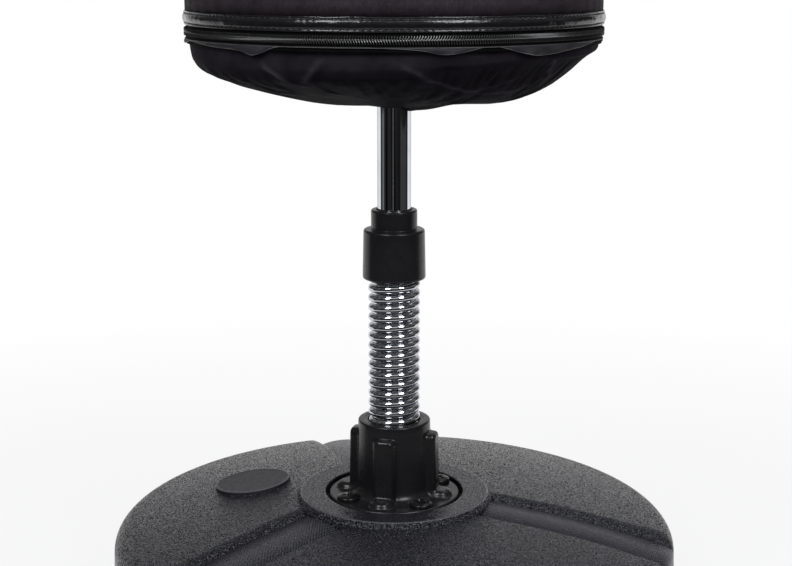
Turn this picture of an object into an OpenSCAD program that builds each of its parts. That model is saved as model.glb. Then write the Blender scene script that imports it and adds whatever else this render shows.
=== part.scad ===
// Free-standing spring reflex bag: a filled base, a bending coil spring,
// a chromed pole and a padded bag that is slipped over the pole.
// Millimetres. +Z is up, the floor is z = 0 and the pole stands on the Z axis.

/* [Base tank] */
// Height of the centre ring's top above the floor
ring_top_z = 165; // [150:1:200]
// Radius of the tank at the floor
base_r = 222; // [216:1:245]
// How much narrower the shoulder is than the foot
side_draft = 5; // [1:1:10]
// Radius of the rounded shoulder
shoulder_round = 14; // [8:1:20]
// Radius of the dome that the three lobes follow
dome_r = 990; // [850:10:1400]
// Wall of the moulding
tank_wall = 3.5; // [2.5:0.5:5]
// Width of the flat foot that rests on the floor
foot_w = 60; // [30:1:80]
// Height of the hollow under the middle of the tank
foot_hollow = 6; // [3:0.5:12]
// Level of the sand above the floor
sand_level = 120; // [60:1:120]

/* [Centre ring] */
// Radius of the ring's flat top
ring_r = 73; // [68:1:80]
// Width of the ring's sloping outer edge
ring_edge = 3; // [2:0.5:5]
// How far the ring stands above the lobes
ring_rise = 4.5; // [3:0.5:8]
// Gap between the socket flange and the wall of its recess
recess_gap = 3; // [2:0.5:5]
// Depth of the recess that holds the socket flange
recess_depth = 8; // [7:0.5:12]
// Thickness of the pad under the recess
pad_t = 24; // [24:1:28]

/* [Channels] */
// Direction of the first channel, seen from above
channel_turn = 103; // [90:1:120]
// Half the width of a channel's mouth
channel_half_w = 24.6; // [20:0.2:28]
// Depth of the groove along each side of a channel
channel_depth = 5.7; // [4:0.1:8]
// Width that each sloping wall of a channel takes up
channel_wall_w = 5; // [3:0.5:8]
// Radius of the arched ridge between the two grooves of a channel
ridge_r = 40; // [36:1:60]

/* [Fill cap] */
// Distance of the cap from the axis
cap_dist = 120; // [112:1:130]
// Direction of the cap, seen from above
cap_turn = 162; // [150:1:175]
// Diameter of the cap
cap_d = 60; // [56:1:66]
// Thickness of the cap's disc
cap_t = 3.3; // [2.5:0.1:5]
// Diameter of the fill hole
fill_hole_d = 45; // [38:1:48]
// Depth of the fill hole's neck
neck_depth = 16; // [14:1:20]
// How far the cap's plug reaches into the hole
cap_plug_l = 14; // [10:1:14]
// Thickness of the cap's sealing ring
seal_t = 2.5; // [2:0.1:3]

/* [Socket] */
// Height of the socket's top above the ring
socket_rise = 58; // [54:1:70]
// Diameter of the barrel at its top
barrel_d = 55.7; // [54:0.1:60]
// How much wider the barrel is at its foot
barrel_taper = 3; // [1:0.5:5]
// Diameter of the flange
flange_d = 101; // [100:1:108]
// Thickness of the flange
flange_t = 7; // [5:0.5:7]
// Radius of the fillet between barrel and flange
flange_fillet = 8; // [4:1:9]
// Height of the pocket's floor above the recess floor
pocket_floor = 24; // [22:1:30]
// Depth of the hollow under the pocket
bolt_hollow = 14; // [12:1:15]
// Diameter of the hollow under the pocket
bolt_hollow_d = 36; // [32:1:40]
// Direction of the first rib, seen from above
rib_turn = -105; // [-120:1:-90]
// Width of a rib
rib_w = 18; // [14:1:20]
// Distance of a rib's outer face from the axis
rib_r = 34; // [32:0.5:36]
// Drop from the barrel's top to a rib's top
rib_drop = 9; // [6:1:14]
// Reach of a rib's foot from the axis
rib_foot_r = 46; // [42:0.5:48]
// Height of a rib's foot above the flange
rib_foot_h = 4.5; // [3:0.5:7]

/* [Fasteners] */
// Distance of the flange screws from the axis
screw_dist = 41; // [40.5:0.1:41.5]
// Diameter of a flange screw's head
screw_head_d = 17; // [14:0.5:18]
// Height of a flange screw's head
screw_head_h = 4; // [3:0.5:5]
// Diameter of a flange screw
screw_d = 8; // [6:0.5:8]
// Length of a flange screw under its head
screw_l = 25; // [20:1:26]
// Outer diameter of a threaded insert
insert_d = 13; // [12:0.5:14]
// Length of a threaded insert
insert_l = 20; // [16:1:22]
// Diameter of the anchor bolt
anchor_d = 10; // [8:1:12]
// Width across the flats of the anchor bolt's head
anchor_af = 16; // [15:1:18]
// Height of the anchor bolt's head
anchor_head_h = 6.4; // [5:0.2:8]
// How far the anchor bolt reaches into the lower plug
anchor_grip = 24; // [16:1:26]
// Diameter of the anchor bolt's washer
washer_d = 28; // [24:1:30]
// Thickness of the anchor bolt's washer
washer_t = 2; // [1.5:0.5:3]

/* [Spring] */
// Outer diameter of the coil
spring_d = 40; // [36:0.5:42]
// Diameter of the wire
wire_d = 6.5; // [5:0.1:6.8]
// Rise of one turn
spring_pitch = 7.5; // [7.2:0.1:9]
// Length of coil that shows between socket and collar
spring_show = 111; // [90:1:140]
// Length of each plug inside the coil
plug_l = 30; // [24:1:32]
// Thickness of the flange that closes each end of the coil
plug_flange_t = 3.5; // [3:0.5:5]

/* [Collar and pole] */
// Diameter of the collar's foot
collar_d = 48; // [46:0.5:54]
// Taper of the collar's lower part
collar_taper = 1.6; // [0:0.2:2]
// Height of the collar's lower part
collar_low_h = 38; // [34:1:50]
// Diameter of the collar's upper part
collar_top_d = 35; // [32:0.5:38]
// Height of the collar's upper part
collar_top_h = 15; // [12:1:24]
// Thickness of the collar's shoulder
collar_t = 3.3; // [2.5:0.1:4]
// Diameter of the pole
pole_d = 25.4; // [24:0.2:28]
// Wall of the pole
pole_wall = 1.5; // [1.2:0.1:2]
// Length of the pole
pole_l = 1195; // [1000:1:1400]
// How far the upper plug reaches into the pole
spigot_l = 52; // [30:1:70]
// Diameter of the pin across pole and plug
pin_d = 4; // [3:0.5:5]
// How far the end plug reaches into the pole
end_plug_l = 30; // [15:1:40]
// Thickness of the end plug's head
end_plug_t = 4; // [3:0.5:6]

/* [Bag] */
// Outer diameter of the bag
bag_d = 305; // [290:1:330]
// Bare pole between the collar and the bag
pole_show = 76; // [40:1:120]
// How far the bottom panel sags below its hem
bottom_sag = 46; // [30:1:55]
// Foam above the pole's end
top_foam = 62; // [40:1:90]
// Rise of the top panel's crown
crown_rise = 16; // [8:1:24]
// Thickness of the cover material
cover_t = 1.2; // [1:0.1:1.6]
// Outer diameter of the sleeve inside the foam
sleeve_d = 32; // [31:0.5:36]
// Diameter of the plate that rests on the pole's end
plate_d = 120; // [80:1:160]
// Thickness of the plate that rests on the pole's end
plate_t = 6; // [4:0.5:8]
// Thickness of the piping round the top seam
piping_d = 5; // [4:0.5:7]
// Width of the strip over the back seam
seam_w = 22; // [16:1:30]
// Thickness of the strip over the back seam
seam_t = 1; // [0.8:0.1:1.4]

/* [Zip] */
// Height of the band above the zip
band_h = 10; // [8:0.5:14]
// Thickness of the band above the zip
band_t = 1.6; // [1.4:0.1:2]
// Height of one row of zip coils
coil_h = 2.9; // [2.5:0.1:3.2]
// Thickness of the zip coils
coil_t = 1.8; // [1.5:0.1:2]
// Thickness of the zip tape
tape_t = 0.6; // [0.5:0.1:0.8]
// Height of the hem binding under the zip
hem_h = 6.5; // [5:0.5:9]
// Angle at the back between the two ends of the zip
zip_gap_angle = 10; // [8:1:14]
// Length of the zip slider
slider_l = 12; // [10:0.5:14]
// Height of the zip slider
slider_h = 9; // [8:0.5:10]
// Length of the zip pull
pull_l = 28; // [20:1:34]

/* [Hidden] */

$fn = 96;
fit = 0.3;        // gap between pieces that move or are curved
running = 0.05;   // gap of a bolt in its hole, and of coils on their tape
eps = 0.5;        // how far a cut runs past a face
arc_step = 9;     // degrees between the points of a rounded outline

// Base
shoulder_r = base_r - side_draft;
ring_foot_r = ring_r + ring_edge;
recess_r = flange_d / 2 + recess_gap;
recess_z = ring_top_z - recess_depth;
foot_edge = 6;
foot_step = 4;
pad_rim = 4;
lip = 1.2;
function dome_z(r) = ring_top_z - ring_rise
    + sqrt(dome_r * dome_r - r * r) - sqrt(dome_r * dome_r - ring_foot_r * ring_foot_r);
function dome_slope(r) = asin(r / dome_r);
shoulder_meet_r = (shoulder_r - shoulder_round) / (1 - shoulder_round / dome_r);
shoulder_slope = dome_slope(shoulder_meet_r);
shoulder_z = dome_z(shoulder_meet_r) - shoulder_round * cos(shoulder_slope);

// Channels
channel_count = 3;
channel_in = ring_r - 4;
channel_legs = 2;
channel_lap = 6;
groove_w = channel_half_w - channel_wall_w;
groove_rise = channel_depth + shoulder_round;

// Fill cap, in its own frame on the lobe
seat_drop = 0.6;
seat_gap = 0.5;
seat_cut_h = 5;
cap_tilt = dome_slope(cap_dist);
neck_wall = 3;
neck_top_gap = 0.2;
plug_d = fill_hole_d - 1;
plug_wall = 2.5;
seal_at = 5;
seal_stand = 0.3;
seal_seat = 0.2;

// Socket
flange_z = recess_z + flange_t;
socket_top_z = ring_top_z + socket_rise;
pocket_z = recess_z + pocket_floor;
pocket_d = spring_d + 2 * fit + 0.1;
barrel_foot_d = barrel_d + barrel_taper;
bolt_hole_d = anchor_d + 0.5;
screw_turn = rib_turn + 45;
rib_count = 4;
rib_round = 3;
rib_top_round = 5;
rib_root = 2;

// Spring and plugs
coil_r = (spring_d - wire_d) / 2;
spring_z = pocket_z + plug_flange_t;
collar_z = socket_top_z + spring_show;
collar_roof_z = collar_z + collar_low_h - collar_t;
spring_top_z = collar_roof_z - fit - plug_flange_t;
turn_steps = 16;
wire_sides = 8;
plug_core_d = spring_d - 2 * wire_d - 1;
plug_flange_d = spring_d - 0.5;
thread_spare = 2;
coil_rest = 0.1;

// Pole
collar_top_z = collar_z + collar_low_h + collar_top_h;
pole_z = collar_roof_z - fit;
pole_end_z = pole_z + pole_l;
pole_bore_d = pole_d - 2 * pole_wall;
pin_z = collar_z + collar_low_h + collar_top_h / 2;
pin_short = 0.4;
collar_bore_d = pole_d + 1.4;
push_fit = 0.2;

// Bag
bag_r = bag_d / 2;
skin_r = bag_r - cover_t;
cover_ease = 0.4;
foam_r = skin_r - cover_ease;
bag_low_z = collar_top_z + pole_show;
hem_z = bag_low_z + bottom_sag;
plate_z = pole_end_z + end_plug_t + fit;
top_pad_z = plate_z + plate_t + fit;
bag_top_z = plate_z + plate_t + top_foam;
wall_top_z = bag_top_z - 2;
seam_top_z = wall_top_z - 1.5;
sleeve_bore_d = pole_d + 1;
sleeve_low_z = bag_low_z + 7;
panel_hole_r = pole_d / 2 + 1.8;
panel_power = 1.43;
foam_low_z = hem_z + 4;
wadding_top_z = foam_low_z - 0.5;
foam_step = 3;

// Zip
row_gap = 0.2;
tape_show = 1.8;
zip_z = hem_z + hem_h + tape_show + coil_h + row_gap / 2;
tape_r = skin_r - tape_t;
tape_low_z = hem_z + 3;
band_z = zip_z + row_gap / 2 + coil_h + tape_show;
cover_z = band_z + band_h;
slider_angle = 90 - zip_gap_angle / 2 - 3;
slider_gap = 0.4;
wing_t = 1.3;
ear_w = 2.4;
pull_pin_d = 1.8;
pull_w = 6;
pull_t = 1.2;
pull_arm = 1.1;
pull_out = 2.2;
pull_in = 6;
zip_room_r = tape_r - slider_gap - wing_t - 2;

// ---------------------------------------------------------------- helpers

// Ring of the given radii between two heights
module ring(r_out, r_in, z0, z1) {
    translate([0, 0, z0]) difference() {
        cylinder(r = r_out, h = z1 - z0);
        translate([0, 0, -eps]) cylinder(r = r_in, h = z1 - z0 + 2 * eps);
    }
}

// Repeats its children round the Z axis from a first direction
module around(count, first) {
    for (i = [0 : count - 1]) rotate([0, 0, first + i * 360 / count]) children();
}

// Puts its children in the fill cap's own frame, with Z along the lobe's normal
module at_cap() {
    rotate([0, 0, cap_turn]) translate([cap_dist, 0, dome_z(cap_dist)])
        rotate([0, cap_tilt, 0]) translate([0, 0, -seat_drop]) children();
}

// Puts its children on the zip line: X along the zip, Y outwards
module at_slider(r) {
    rotate([0, 0, slider_angle - 90]) translate([0, r, zip_z]) children();
}

// ------------------------------------------------------------------- base

// Half outline of the tank, grown inwards by t
function tank_side(t) = let(
        side_r = shoulder_r - t,
        round_r = shoulder_round - t
    ) concat(
        [[base_r - t - foot_edge, t], [base_r - t, t + foot_edge]],
        [for (a = [0 : arc_step : 89 - shoulder_slope])
            [side_r - round_r + round_r * cos(a), shoulder_z + round_r * sin(a)]],
        [for (k = [0 : 6]) let(r = shoulder_meet_r + (ring_foot_r - shoulder_meet_r) * k / 6)
            [r - t * sin(dome_slope(r)), dome_z(r) - t * cos(dome_slope(r))]]
    );

// Height of a channel's ridge over its grooves at a distance from its middle
function ridge_z(w) = sqrt(ridge_r * ridge_r - w * w) - sqrt(ridge_r * ridge_r - groove_w * groove_w);

// Cut with sloping walls and an arched bottom that follows the dome outwards along X; g grows it
module channel_cut(g) {
    leg = (base_r - channel_in) / channel_legs;
    spread = channel_wall_w * groove_rise / channel_depth;
    for (i = [0 : channel_legs - 1]) {
        from = channel_in + i * leg;
        tilt = dome_slope(from + leg / 2);
        translate([from, 0, dome_z(from)]) rotate([0, tilt, 0])
            translate([-channel_lap / 2 - g, 0, -channel_depth - g])
                rotate([90, 0, 90]) linear_extrude(height = leg / cos(tilt) + channel_lap + g)
                    polygon(concat(
                        [[-groove_w - g - spread, groove_rise]],
                        [for (k = [-6 : 6]) [(groove_w + g) * k / 6, ridge_z(groove_w * k / 6)]],
                        [[groove_w + g + spread, groove_rise]]
                    ));
    }
}

// Ring that the channels stop at
module ring_wall(r) {
    cylinder(r = r, h = ring_top_z + eps);
}

module base_tank() {
    floor_in = [[0, foot_hollow], [base_r - foot_w - foot_step, foot_hollow],
                [base_r - foot_w, 0]];
    color([0.17, 0.17, 0.18]) difference() {
        union() {
            difference() {
                rotate_extrude() polygon(concat(
                    floor_in, tank_side(0),
                    [[ring_r + lip, ring_top_z - lip], [ring_r, ring_top_z],
                     [recess_r + lip, ring_top_z], [recess_r, ring_top_z - lip],
                     [recess_r, recess_z], [0, recess_z]]
                ));
                difference() {
                    around(channel_count, channel_turn) channel_cut(0);
                    ring_wall(ring_foot_r);
                }
                tank_hollow();
            }
            at_cap() translate([0, 0, -neck_depth])
                cylinder(d = fill_hole_d + 2 * neck_wall, h = neck_depth - neck_top_gap);
        }
        at_cap() {
            cylinder(d = cap_d + 2 * seat_gap, h = seat_cut_h);
            translate([0, 0, -neck_depth - eps])
                cylinder(d = fill_hole_d, h = neck_depth + 2 * eps);
        }
        around(rib_count, screw_turn) translate([screw_dist, 0, recess_z - insert_l - fit])
            cylinder(d = insert_d, h = insert_l + fit + eps);
    }
}

// Inside of the tank, with walls left round the channels and the pad
module tank_hollow() {
    pad_r = recess_r + pad_rim;
    difference() {
        rotate_extrude() polygon(concat(
            [[0, foot_hollow + tank_wall],
             [base_r - foot_w - foot_step, foot_hollow + tank_wall],
             [base_r - foot_w, tank_wall]],
            tank_side(tank_wall),
            [[pad_r, dome_z(ring_foot_r) - tank_wall], [pad_r, recess_z - pad_t],
             [0, recess_z - pad_t]]
        ));
        around(channel_count, channel_turn) channel_cut(tank_wall);
    }
}

module sand_fill() {
    low = foot_hollow + tank_wall + fit;
    side = tank_wall + fit;
    slope = side_draft / (shoulder_z - side - foot_edge);
    low_r = base_r - side - fit;
    color([0.76, 0.66, 0.47]) rotate_extrude() polygon([
        [0, low], [base_r - foot_w - foot_step, low], [base_r - foot_w, side],
        [low_r - foot_edge, side], [low_r, side + foot_edge],
        [low_r - slope * (sand_level - side - foot_edge), sand_level], [0, sand_level]
    ]);
}

module screw_inserts() {
    color([0.72, 0.58, 0.3]) around(rib_count, screw_turn)
        translate([screw_dist, 0, recess_z - insert_l]) difference() {
            cylinder(d = insert_d, h = insert_l);
            translate([0, 0, -eps]) cylinder(d = screw_d + 2 * running, h = insert_l + 2 * eps);
        }
}

// ---------------------------------------------------------------- fill cap

module fill_cap() {
    bevel = 1;
    groove_z = -seal_at - seal_t;
    color([0.24, 0.24, 0.26]) at_cap() difference() {
        union() {
            cylinder(d = cap_d, h = cap_t - bevel);
            translate([0, 0, cap_t - bevel])
                cylinder(d1 = cap_d, d2 = cap_d - 2 * bevel, h = bevel);
            translate([0, 0, -cap_plug_l]) cylinder(d = plug_d, h = cap_plug_l);
        }
        translate([0, 0, -cap_plug_l - eps])
            cylinder(d = plug_d - 2 * seal_t - 2 * plug_wall, h = cap_plug_l + eps);
        translate([0, 0, groove_z]) ring(plug_d, plug_d / 2 - seal_t + seal_seat, 0, seal_t);
    }
}

module fill_cap_seal() {
    color([0.08, 0.08, 0.08]) at_cap() translate([0, 0, -seal_at - seal_t])
        ring(plug_d / 2 + seal_stand, plug_d / 2 - seal_t + seal_seat, 0, seal_t);
}

// ------------------------------------------------------------------ socket

// Half outline of barrel, fillet and flange
function socket_outline() = let(
        r0 = barrel_foot_d / 2, c = flange_fillet, z0 = flange_z
    ) concat(
        [[0, recess_z], [flange_d / 2, recess_z], [flange_d / 2, flange_z - lip],
         [flange_d / 2 - lip, flange_z]],
        [for (a = [0 : 15 : 90]) [r0 + c - c * sin(a), z0 + c - c * cos(a)]],
        [[barrel_d / 2, socket_top_z - lip], [barrel_d / 2 - lip, socket_top_z],
         [0, socket_top_z]]
    );

// Rib with a rounded top and a low foot that runs out over the flange
module rib() {
    top = socket_top_z - rib_drop;
    in_r = pocket_d / 2 + rib_root;
    top_in_r = rib_r - rib_top_round;
    foot_in_r = rib_foot_r - rib_round;
    foot_top = flange_z + rib_foot_h;
    rotate([90, 0, 0]) linear_extrude(height = rib_w, center = true) polygon(concat(
        [[in_r, flange_z - 1], [rib_foot_r, flange_z - 1], [rib_foot_r, foot_top - rib_round]],
        [for (a = [0 : 30 : 90])
            [foot_in_r + rib_round * cos(a), foot_top - rib_round + rib_round * sin(a)]],
        [[rib_r + 1, foot_top]],
        [for (a = [0 : 15 : 90])
            [top_in_r + rib_top_round * cos(a), top - rib_top_round + rib_top_round * sin(a)]],
        [[in_r, top]]
    ));
}

module socket() {
    color([0.07, 0.07, 0.07]) difference() {
        union() {
            rotate_extrude() polygon(socket_outline());
            around(rib_count, rib_turn) rib();
        }
        translate([0, 0, pocket_z]) cylinder(d = pocket_d, h = socket_top_z);
        translate([0, 0, recess_z - eps]) cylinder(d = bolt_hole_d, h = pocket_floor + 2 * eps);
        translate([0, 0, recess_z - eps]) cylinder(d = bolt_hollow_d, h = bolt_hollow + eps);
        around(rib_count, screw_turn) translate([screw_dist, 0, 0]) {
            cylinder(d = screw_d + 1, h = flange_z + eps);
            translate([0, 0, flange_z])
                cylinder(d = screw_head_d + 2 * fit, h = flange_fillet + 1);
        }
    }
}

module socket_screws() {
    crown = 1.4;
    slot_w = 2;
    slot_depth = 2;
    slot_l = screw_head_d * 0.55;
    color([0.1, 0.1, 0.1]) around(rib_count, screw_turn)
        translate([screw_dist, 0, flange_z]) difference() {
            union() {
                cylinder(d = screw_head_d, h = screw_head_h - crown);
                translate([0, 0, screw_head_h - crown])
                    cylinder(d1 = screw_head_d, d2 = screw_head_d * 0.7, h = crown);
                translate([0, 0, -screw_l]) cylinder(d = screw_d, h = screw_l);
            }
            for (turn = [0, 90]) rotate([0, 0, turn])
                translate([-slot_l / 2, -slot_w / 2, screw_head_h - slot_depth])
                    cube([slot_l, slot_w, slot_depth + eps]);
        }
}

module anchor_bolt() {
    head_z = recess_z + bolt_hollow - washer_t - anchor_head_h;
    color([0.75, 0.75, 0.77]) {
        translate([0, 0, head_z]) cylinder(d = anchor_af / cos(30), h = anchor_head_h, $fn = 6);
        translate([0, 0, head_z + anchor_head_h])
            cylinder(d = anchor_d, h = pocket_z + anchor_grip - head_z - anchor_head_h);
    }
}

module anchor_washer() {
    top = recess_z + bolt_hollow;
    color([0.8, 0.8, 0.82]) ring(washer_d / 2, bolt_hole_d / 2, top - washer_t, top);
}

// ------------------------------------------------------------------ spring

module lower_spring_plug() {
    color([0.6, 0.6, 0.62]) difference() {
        union() {
            translate([0, 0, pocket_z]) cylinder(d = plug_flange_d, h = plug_flange_t);
            translate([0, 0, spring_z]) cylinder(d = plug_core_d, h = plug_l);
        }
        translate([0, 0, pocket_z - eps])
            cylinder(d = anchor_d + 2 * running, h = anchor_grip + thread_spare + eps);
    }
}

// Point of the wire's skin: turn angle a, direction b round the wire
function wire_point(a, b, lift) = let(r = coil_r + wire_d / 2 * cos(b))
    [r * cos(a), r * sin(a), lift + spring_pitch * a / 360 + wire_d / 2 * sin(b)];

module spring() {
    height = spring_top_z - spring_z - wire_d - 2 * coil_rest;
    rings = ceil(height / spring_pitch * turn_steps);
    sweep = height / spring_pitch * 360;
    lift = spring_z + wire_d / 2 + coil_rest;
    n = wire_sides;
    skin = [for (i = [0 : rings], j = [0 : n - 1])
        wire_point(i * sweep / rings, j * 360 / n, lift)];
    sides = [for (i = [0 : rings - 1], j = [0 : n - 1])
        let(k = (j + 1) % n) [i * n + j, (i + 1) * n + j, (i + 1) * n + k, i * n + k]];
    ends = [[for (j = [0 : n - 1]) j], [for (j = [n - 1 : -1 : 0]) rings * n + j]];
    color([0.85, 0.86, 0.88]) polyhedron(points = skin, faces = concat(sides, ends));
}

module upper_spring_plug() {
    color([0.6, 0.6, 0.62]) difference() {
        union() {
            translate([0, 0, spring_top_z - plug_l]) cylinder(d = plug_core_d, h = plug_l);
            translate([0, 0, spring_top_z]) cylinder(d = plug_flange_d, h = plug_flange_t);
            translate([0, 0, pole_z]) cylinder(d = pole_bore_d - push_fit, h = spigot_l);
        }
        translate([0, 0, pin_z]) rotate([90, 0, 0])
            cylinder(d = pin_d + 2 * running, h = pole_d, center = true);
    }
}

// ---------------------------------------------------------- collar and pole

module collar() {
    low_r = collar_d / 2;
    step_z = collar_z + collar_low_h;
    step_r = low_r - collar_taper / 2;
    top_r = collar_top_d / 2;
    color([0.09, 0.09, 0.09]) difference() {
        rotate_extrude() polygon([
            [0, collar_z], [low_r - lip, collar_z], [low_r, collar_z + lip],
            [step_r, step_z - lip], [step_r - lip, step_z],
            [top_r, step_z], [top_r, collar_top_z - lip], [top_r - lip, collar_top_z],
            [0, collar_top_z]
        ]);
        translate([0, 0, collar_z - eps])
            cylinder(d = pocket_d, h = collar_low_h - collar_t + eps);
        cylinder(d = collar_bore_d, h = collar_top_z + eps);
    }
}

module pole() {
    color([0.86, 0.87, 0.89]) difference() {
        ring(pole_d / 2, pole_bore_d / 2, pole_z, pole_end_z);
        translate([0, 0, pin_z]) rotate([90, 0, 0])
            cylinder(d = pin_d + 2 * running, h = 2 * pole_d, center = true);
    }
}

module pole_cross_pin() {
    color([0.5, 0.5, 0.52]) translate([0, 0, pin_z]) rotate([90, 0, 0])
        cylinder(d = pin_d, h = pole_d - pin_short, center = true);
}

module pole_end_plug() {
    color([0.1, 0.1, 0.1]) {
        translate([0, 0, pole_end_z]) cylinder(d = pole_d, h = end_plug_t);
        translate([0, 0, pole_end_z - end_plug_l]) cylinder(d = pole_bore_d - push_fit, h = end_plug_l);
    }
}

// --------------------------------------------------------------------- bag

module inner_sleeve() {
    color([0.35, 0.36, 0.38]) ring(sleeve_d / 2, sleeve_bore_d / 2, sleeve_low_z, plate_z);
}

module sleeve_plate() {
    color([0.35, 0.36, 0.38]) translate([0, 0, plate_z]) cylinder(d = plate_d, h = plate_t);
}

module foam_core() {
    hole_r = sleeve_d / 2 + fit;
    color([0.88, 0.85, 0.7]) {
        rotate_extrude() polygon([
            [hole_r, foam_low_z], [zip_room_r, foam_low_z], [zip_room_r, cover_z],
            [foam_r, cover_z + foam_step], [foam_r, plate_z], [hole_r, plate_z]
        ]);
    }
}

// Height of the crown over the top seam at radius r
function crown(r) = crown_rise * (1 - pow(r / bag_r, 2));

module top_pad() {
    color([0.88, 0.85, 0.7]) rotate_extrude() polygon(concat(
        [[0, top_pad_z], [foam_r, top_pad_z]],
        [for (k = [0 : 8]) let(r = foam_r * (1 - k / 8)) [r, bag_top_z + crown(r) - fit]]
    ));
}

// Point of the sagging bottom at angle a: 90 at the hem, 0 on the axis
function sag_point(a, inset) = [
    (skin_r - inset) * sin(a),
    hem_z - (bottom_sag - inset) * pow(cos(a), panel_power)
];
function sag_start(r, inset) = asin(r / (skin_r - inset));
function sag_line(r, inset) = let(a0 = sag_start(r, inset))
    [for (k = [0 : 14]) sag_point(a0 + (90 - a0) * k / 14, inset)];

module bottom_wadding() {
    inset = cover_t + fit;
    hole_r = sleeve_d / 2 + fit;
    color([0.8, 0.8, 0.8]) rotate_extrude() polygon(concat(
        sag_line(hole_r, inset),
        [[skin_r - inset, wadding_top_z], [hole_r, wadding_top_z]]
    ));
}

module cover_wall() {
    color([0.06, 0.055, 0.065]) ring(bag_r, skin_r, cover_z, wall_top_z);
}

module back_seam_strip() {
    half_angle = asin(seam_w / 2 / bag_r);
    color([0.05, 0.05, 0.055]) rotate([0, 0, 90 - half_angle])
        rotate_extrude(angle = 2 * half_angle)
            translate([bag_r, cover_z]) square([seam_t, seam_top_z - cover_z]);
}

module top_panel() {
    color([0.05, 0.05, 0.055]) rotate_extrude() polygon(concat(
        [for (k = [0 : 8]) let(r = bag_r * (1 - k / 8)) [r, bag_top_z + cover_t + crown(r)]],
        [for (k = [8 : -1 : 0]) let(r = bag_r * (1 - k / 8)) [r, bag_top_z + crown(r)]]
    ));
}

module top_piping() {
    cord_r = bag_r + piping_d / 2 + running;
    color([0.04, 0.04, 0.04]) rotate_extrude() {
        translate([skin_r, wall_top_z]) square([cord_r - skin_r, bag_top_z - wall_top_z]);
        translate([cord_r, bag_top_z - 0.5]) circle(d = piping_d);
    }
}

module band() {
    color([0.09, 0.085, 0.1]) ring(skin_r + band_t, skin_r, band_z, cover_z);
}

// One row of zip coils between two heights, open at the back
module zip_row(z0, z1) {
    rotate([0, 0, 90 + zip_gap_angle / 2]) rotate_extrude(angle = 360 - zip_gap_angle)
        translate([skin_r + running, z0]) square([coil_t - running, z1 - z0]);
}

module zip_tape_upper() {
    color([0.03, 0.03, 0.03]) ring(skin_r, tape_r, zip_z + row_gap / 2, cover_z - 1);
}

module zip_coil_upper() {
    color([0.05, 0.05, 0.05]) zip_row(zip_z + row_gap / 2, zip_z + row_gap / 2 + coil_h);
}

module zip_tape_lower() {
    color([0.03, 0.03, 0.03]) ring(skin_r, tape_r, tape_low_z, zip_z - row_gap / 2);
}

module zip_coil_lower() {
    color([0.05, 0.05, 0.05]) zip_row(zip_z - row_gap / 2 - coil_h, zip_z - row_gap / 2);
}

module zip_stops() {
    half = coil_h + row_gap / 2;
    angle = zip_gap_angle / 5;
    color([0.1, 0.1, 0.1]) for (end = [90 + zip_gap_angle / 2 - angle, 90 - zip_gap_angle / 2])
        rotate([0, 0, end]) rotate_extrude(angle = angle)
            translate([skin_r + running, zip_z - half]) square([coil_t - running, 2 * half]);
}

module hem_binding() {
    color([0.16, 0.16, 0.17]) ring(skin_r + band_t, skin_r, hem_z, hem_z + hem_h);
}

module bottom_panel() {
    rim_in = skin_r - cover_t;
    color([0.04, 0.04, 0.045]) rotate_extrude() polygon(concat(
        sag_line(panel_hole_r, 0),
        [[skin_r, tape_low_z], [rim_in, tape_low_z]],
        [for (k = [14 : -1 : 0]) sag_line(panel_hole_r, cover_t)[k]]
    ));
}

// --------------------------------------------------------------- zip slider

// Distance from the skin to the hinge of the pull
function pull_r() = skin_r + coil_t + slider_gap + wing_t + pull_out;

module zip_slider() {
    front_r = skin_r + coil_t + slider_gap;
    color([0.12, 0.12, 0.12]) {
        for (r = [front_r, tape_r - slider_gap - wing_t]) at_slider(r)
            translate([-slider_l / 2, 0, -slider_h / 2]) cube([slider_l, wing_t, slider_h]);
        at_slider(front_r + wing_t) difference() {
            translate([-ear_w / 2, -0.2, -3]) cube([ear_w, pull_out + 2, 6]);
            translate([0, pull_out, 0]) rotate([0, 90, 0])
                cylinder(d = pull_pin_d + 0.4, h = 2 * ear_w, center = true, $fn = 24);
        }
    }
}

module zip_pull() {
    inner = ear_w / 2 + fit;
    color([0.15, 0.15, 0.15]) at_slider(pull_r()) {
        rotate([0, 90, 0])
            cylinder(d = pull_pin_d, h = 2 * (inner + pull_arm), center = true, $fn = 24);
        for (side = [-1, 1])
            translate([side * (inner + pull_arm / 2), 0, -3])
                cube([pull_arm, pull_t, 8], center = true);
        translate([-pull_w / 2, -pull_t / 2, -pull_l]) cube([pull_w, pull_t, pull_l - pull_in]);
    }
}

// ----------------------------------------------------------------- the part

base_tank();
sand_fill();
screw_inserts();
socket();
socket_screws();
lower_spring_plug();
anchor_bolt();
anchor_washer();
fill_cap();
fill_cap_seal();
spring();
upper_spring_plug();
collar();
pole();
pole_cross_pin();
pole_end_plug();
inner_sleeve();
sleeve_plate();
foam_core();
top_pad();
bottom_wadding();
cover_wall();
back_seam_strip();
top_panel();
top_piping();
band();
zip_tape_upper();
zip_coil_upper();
zip_tape_lower();
zip_coil_lower();
zip_stops();
hem_binding();
bottom_panel();
zip_slider();
zip_pull();
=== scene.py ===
"""Spring reflex bag: the visible surfaces of a free-standing reflex bag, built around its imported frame.

Metres. +Z is up, the floor is z = 0, the pole stands on the Z axis and the front is -Y.
"""

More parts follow.
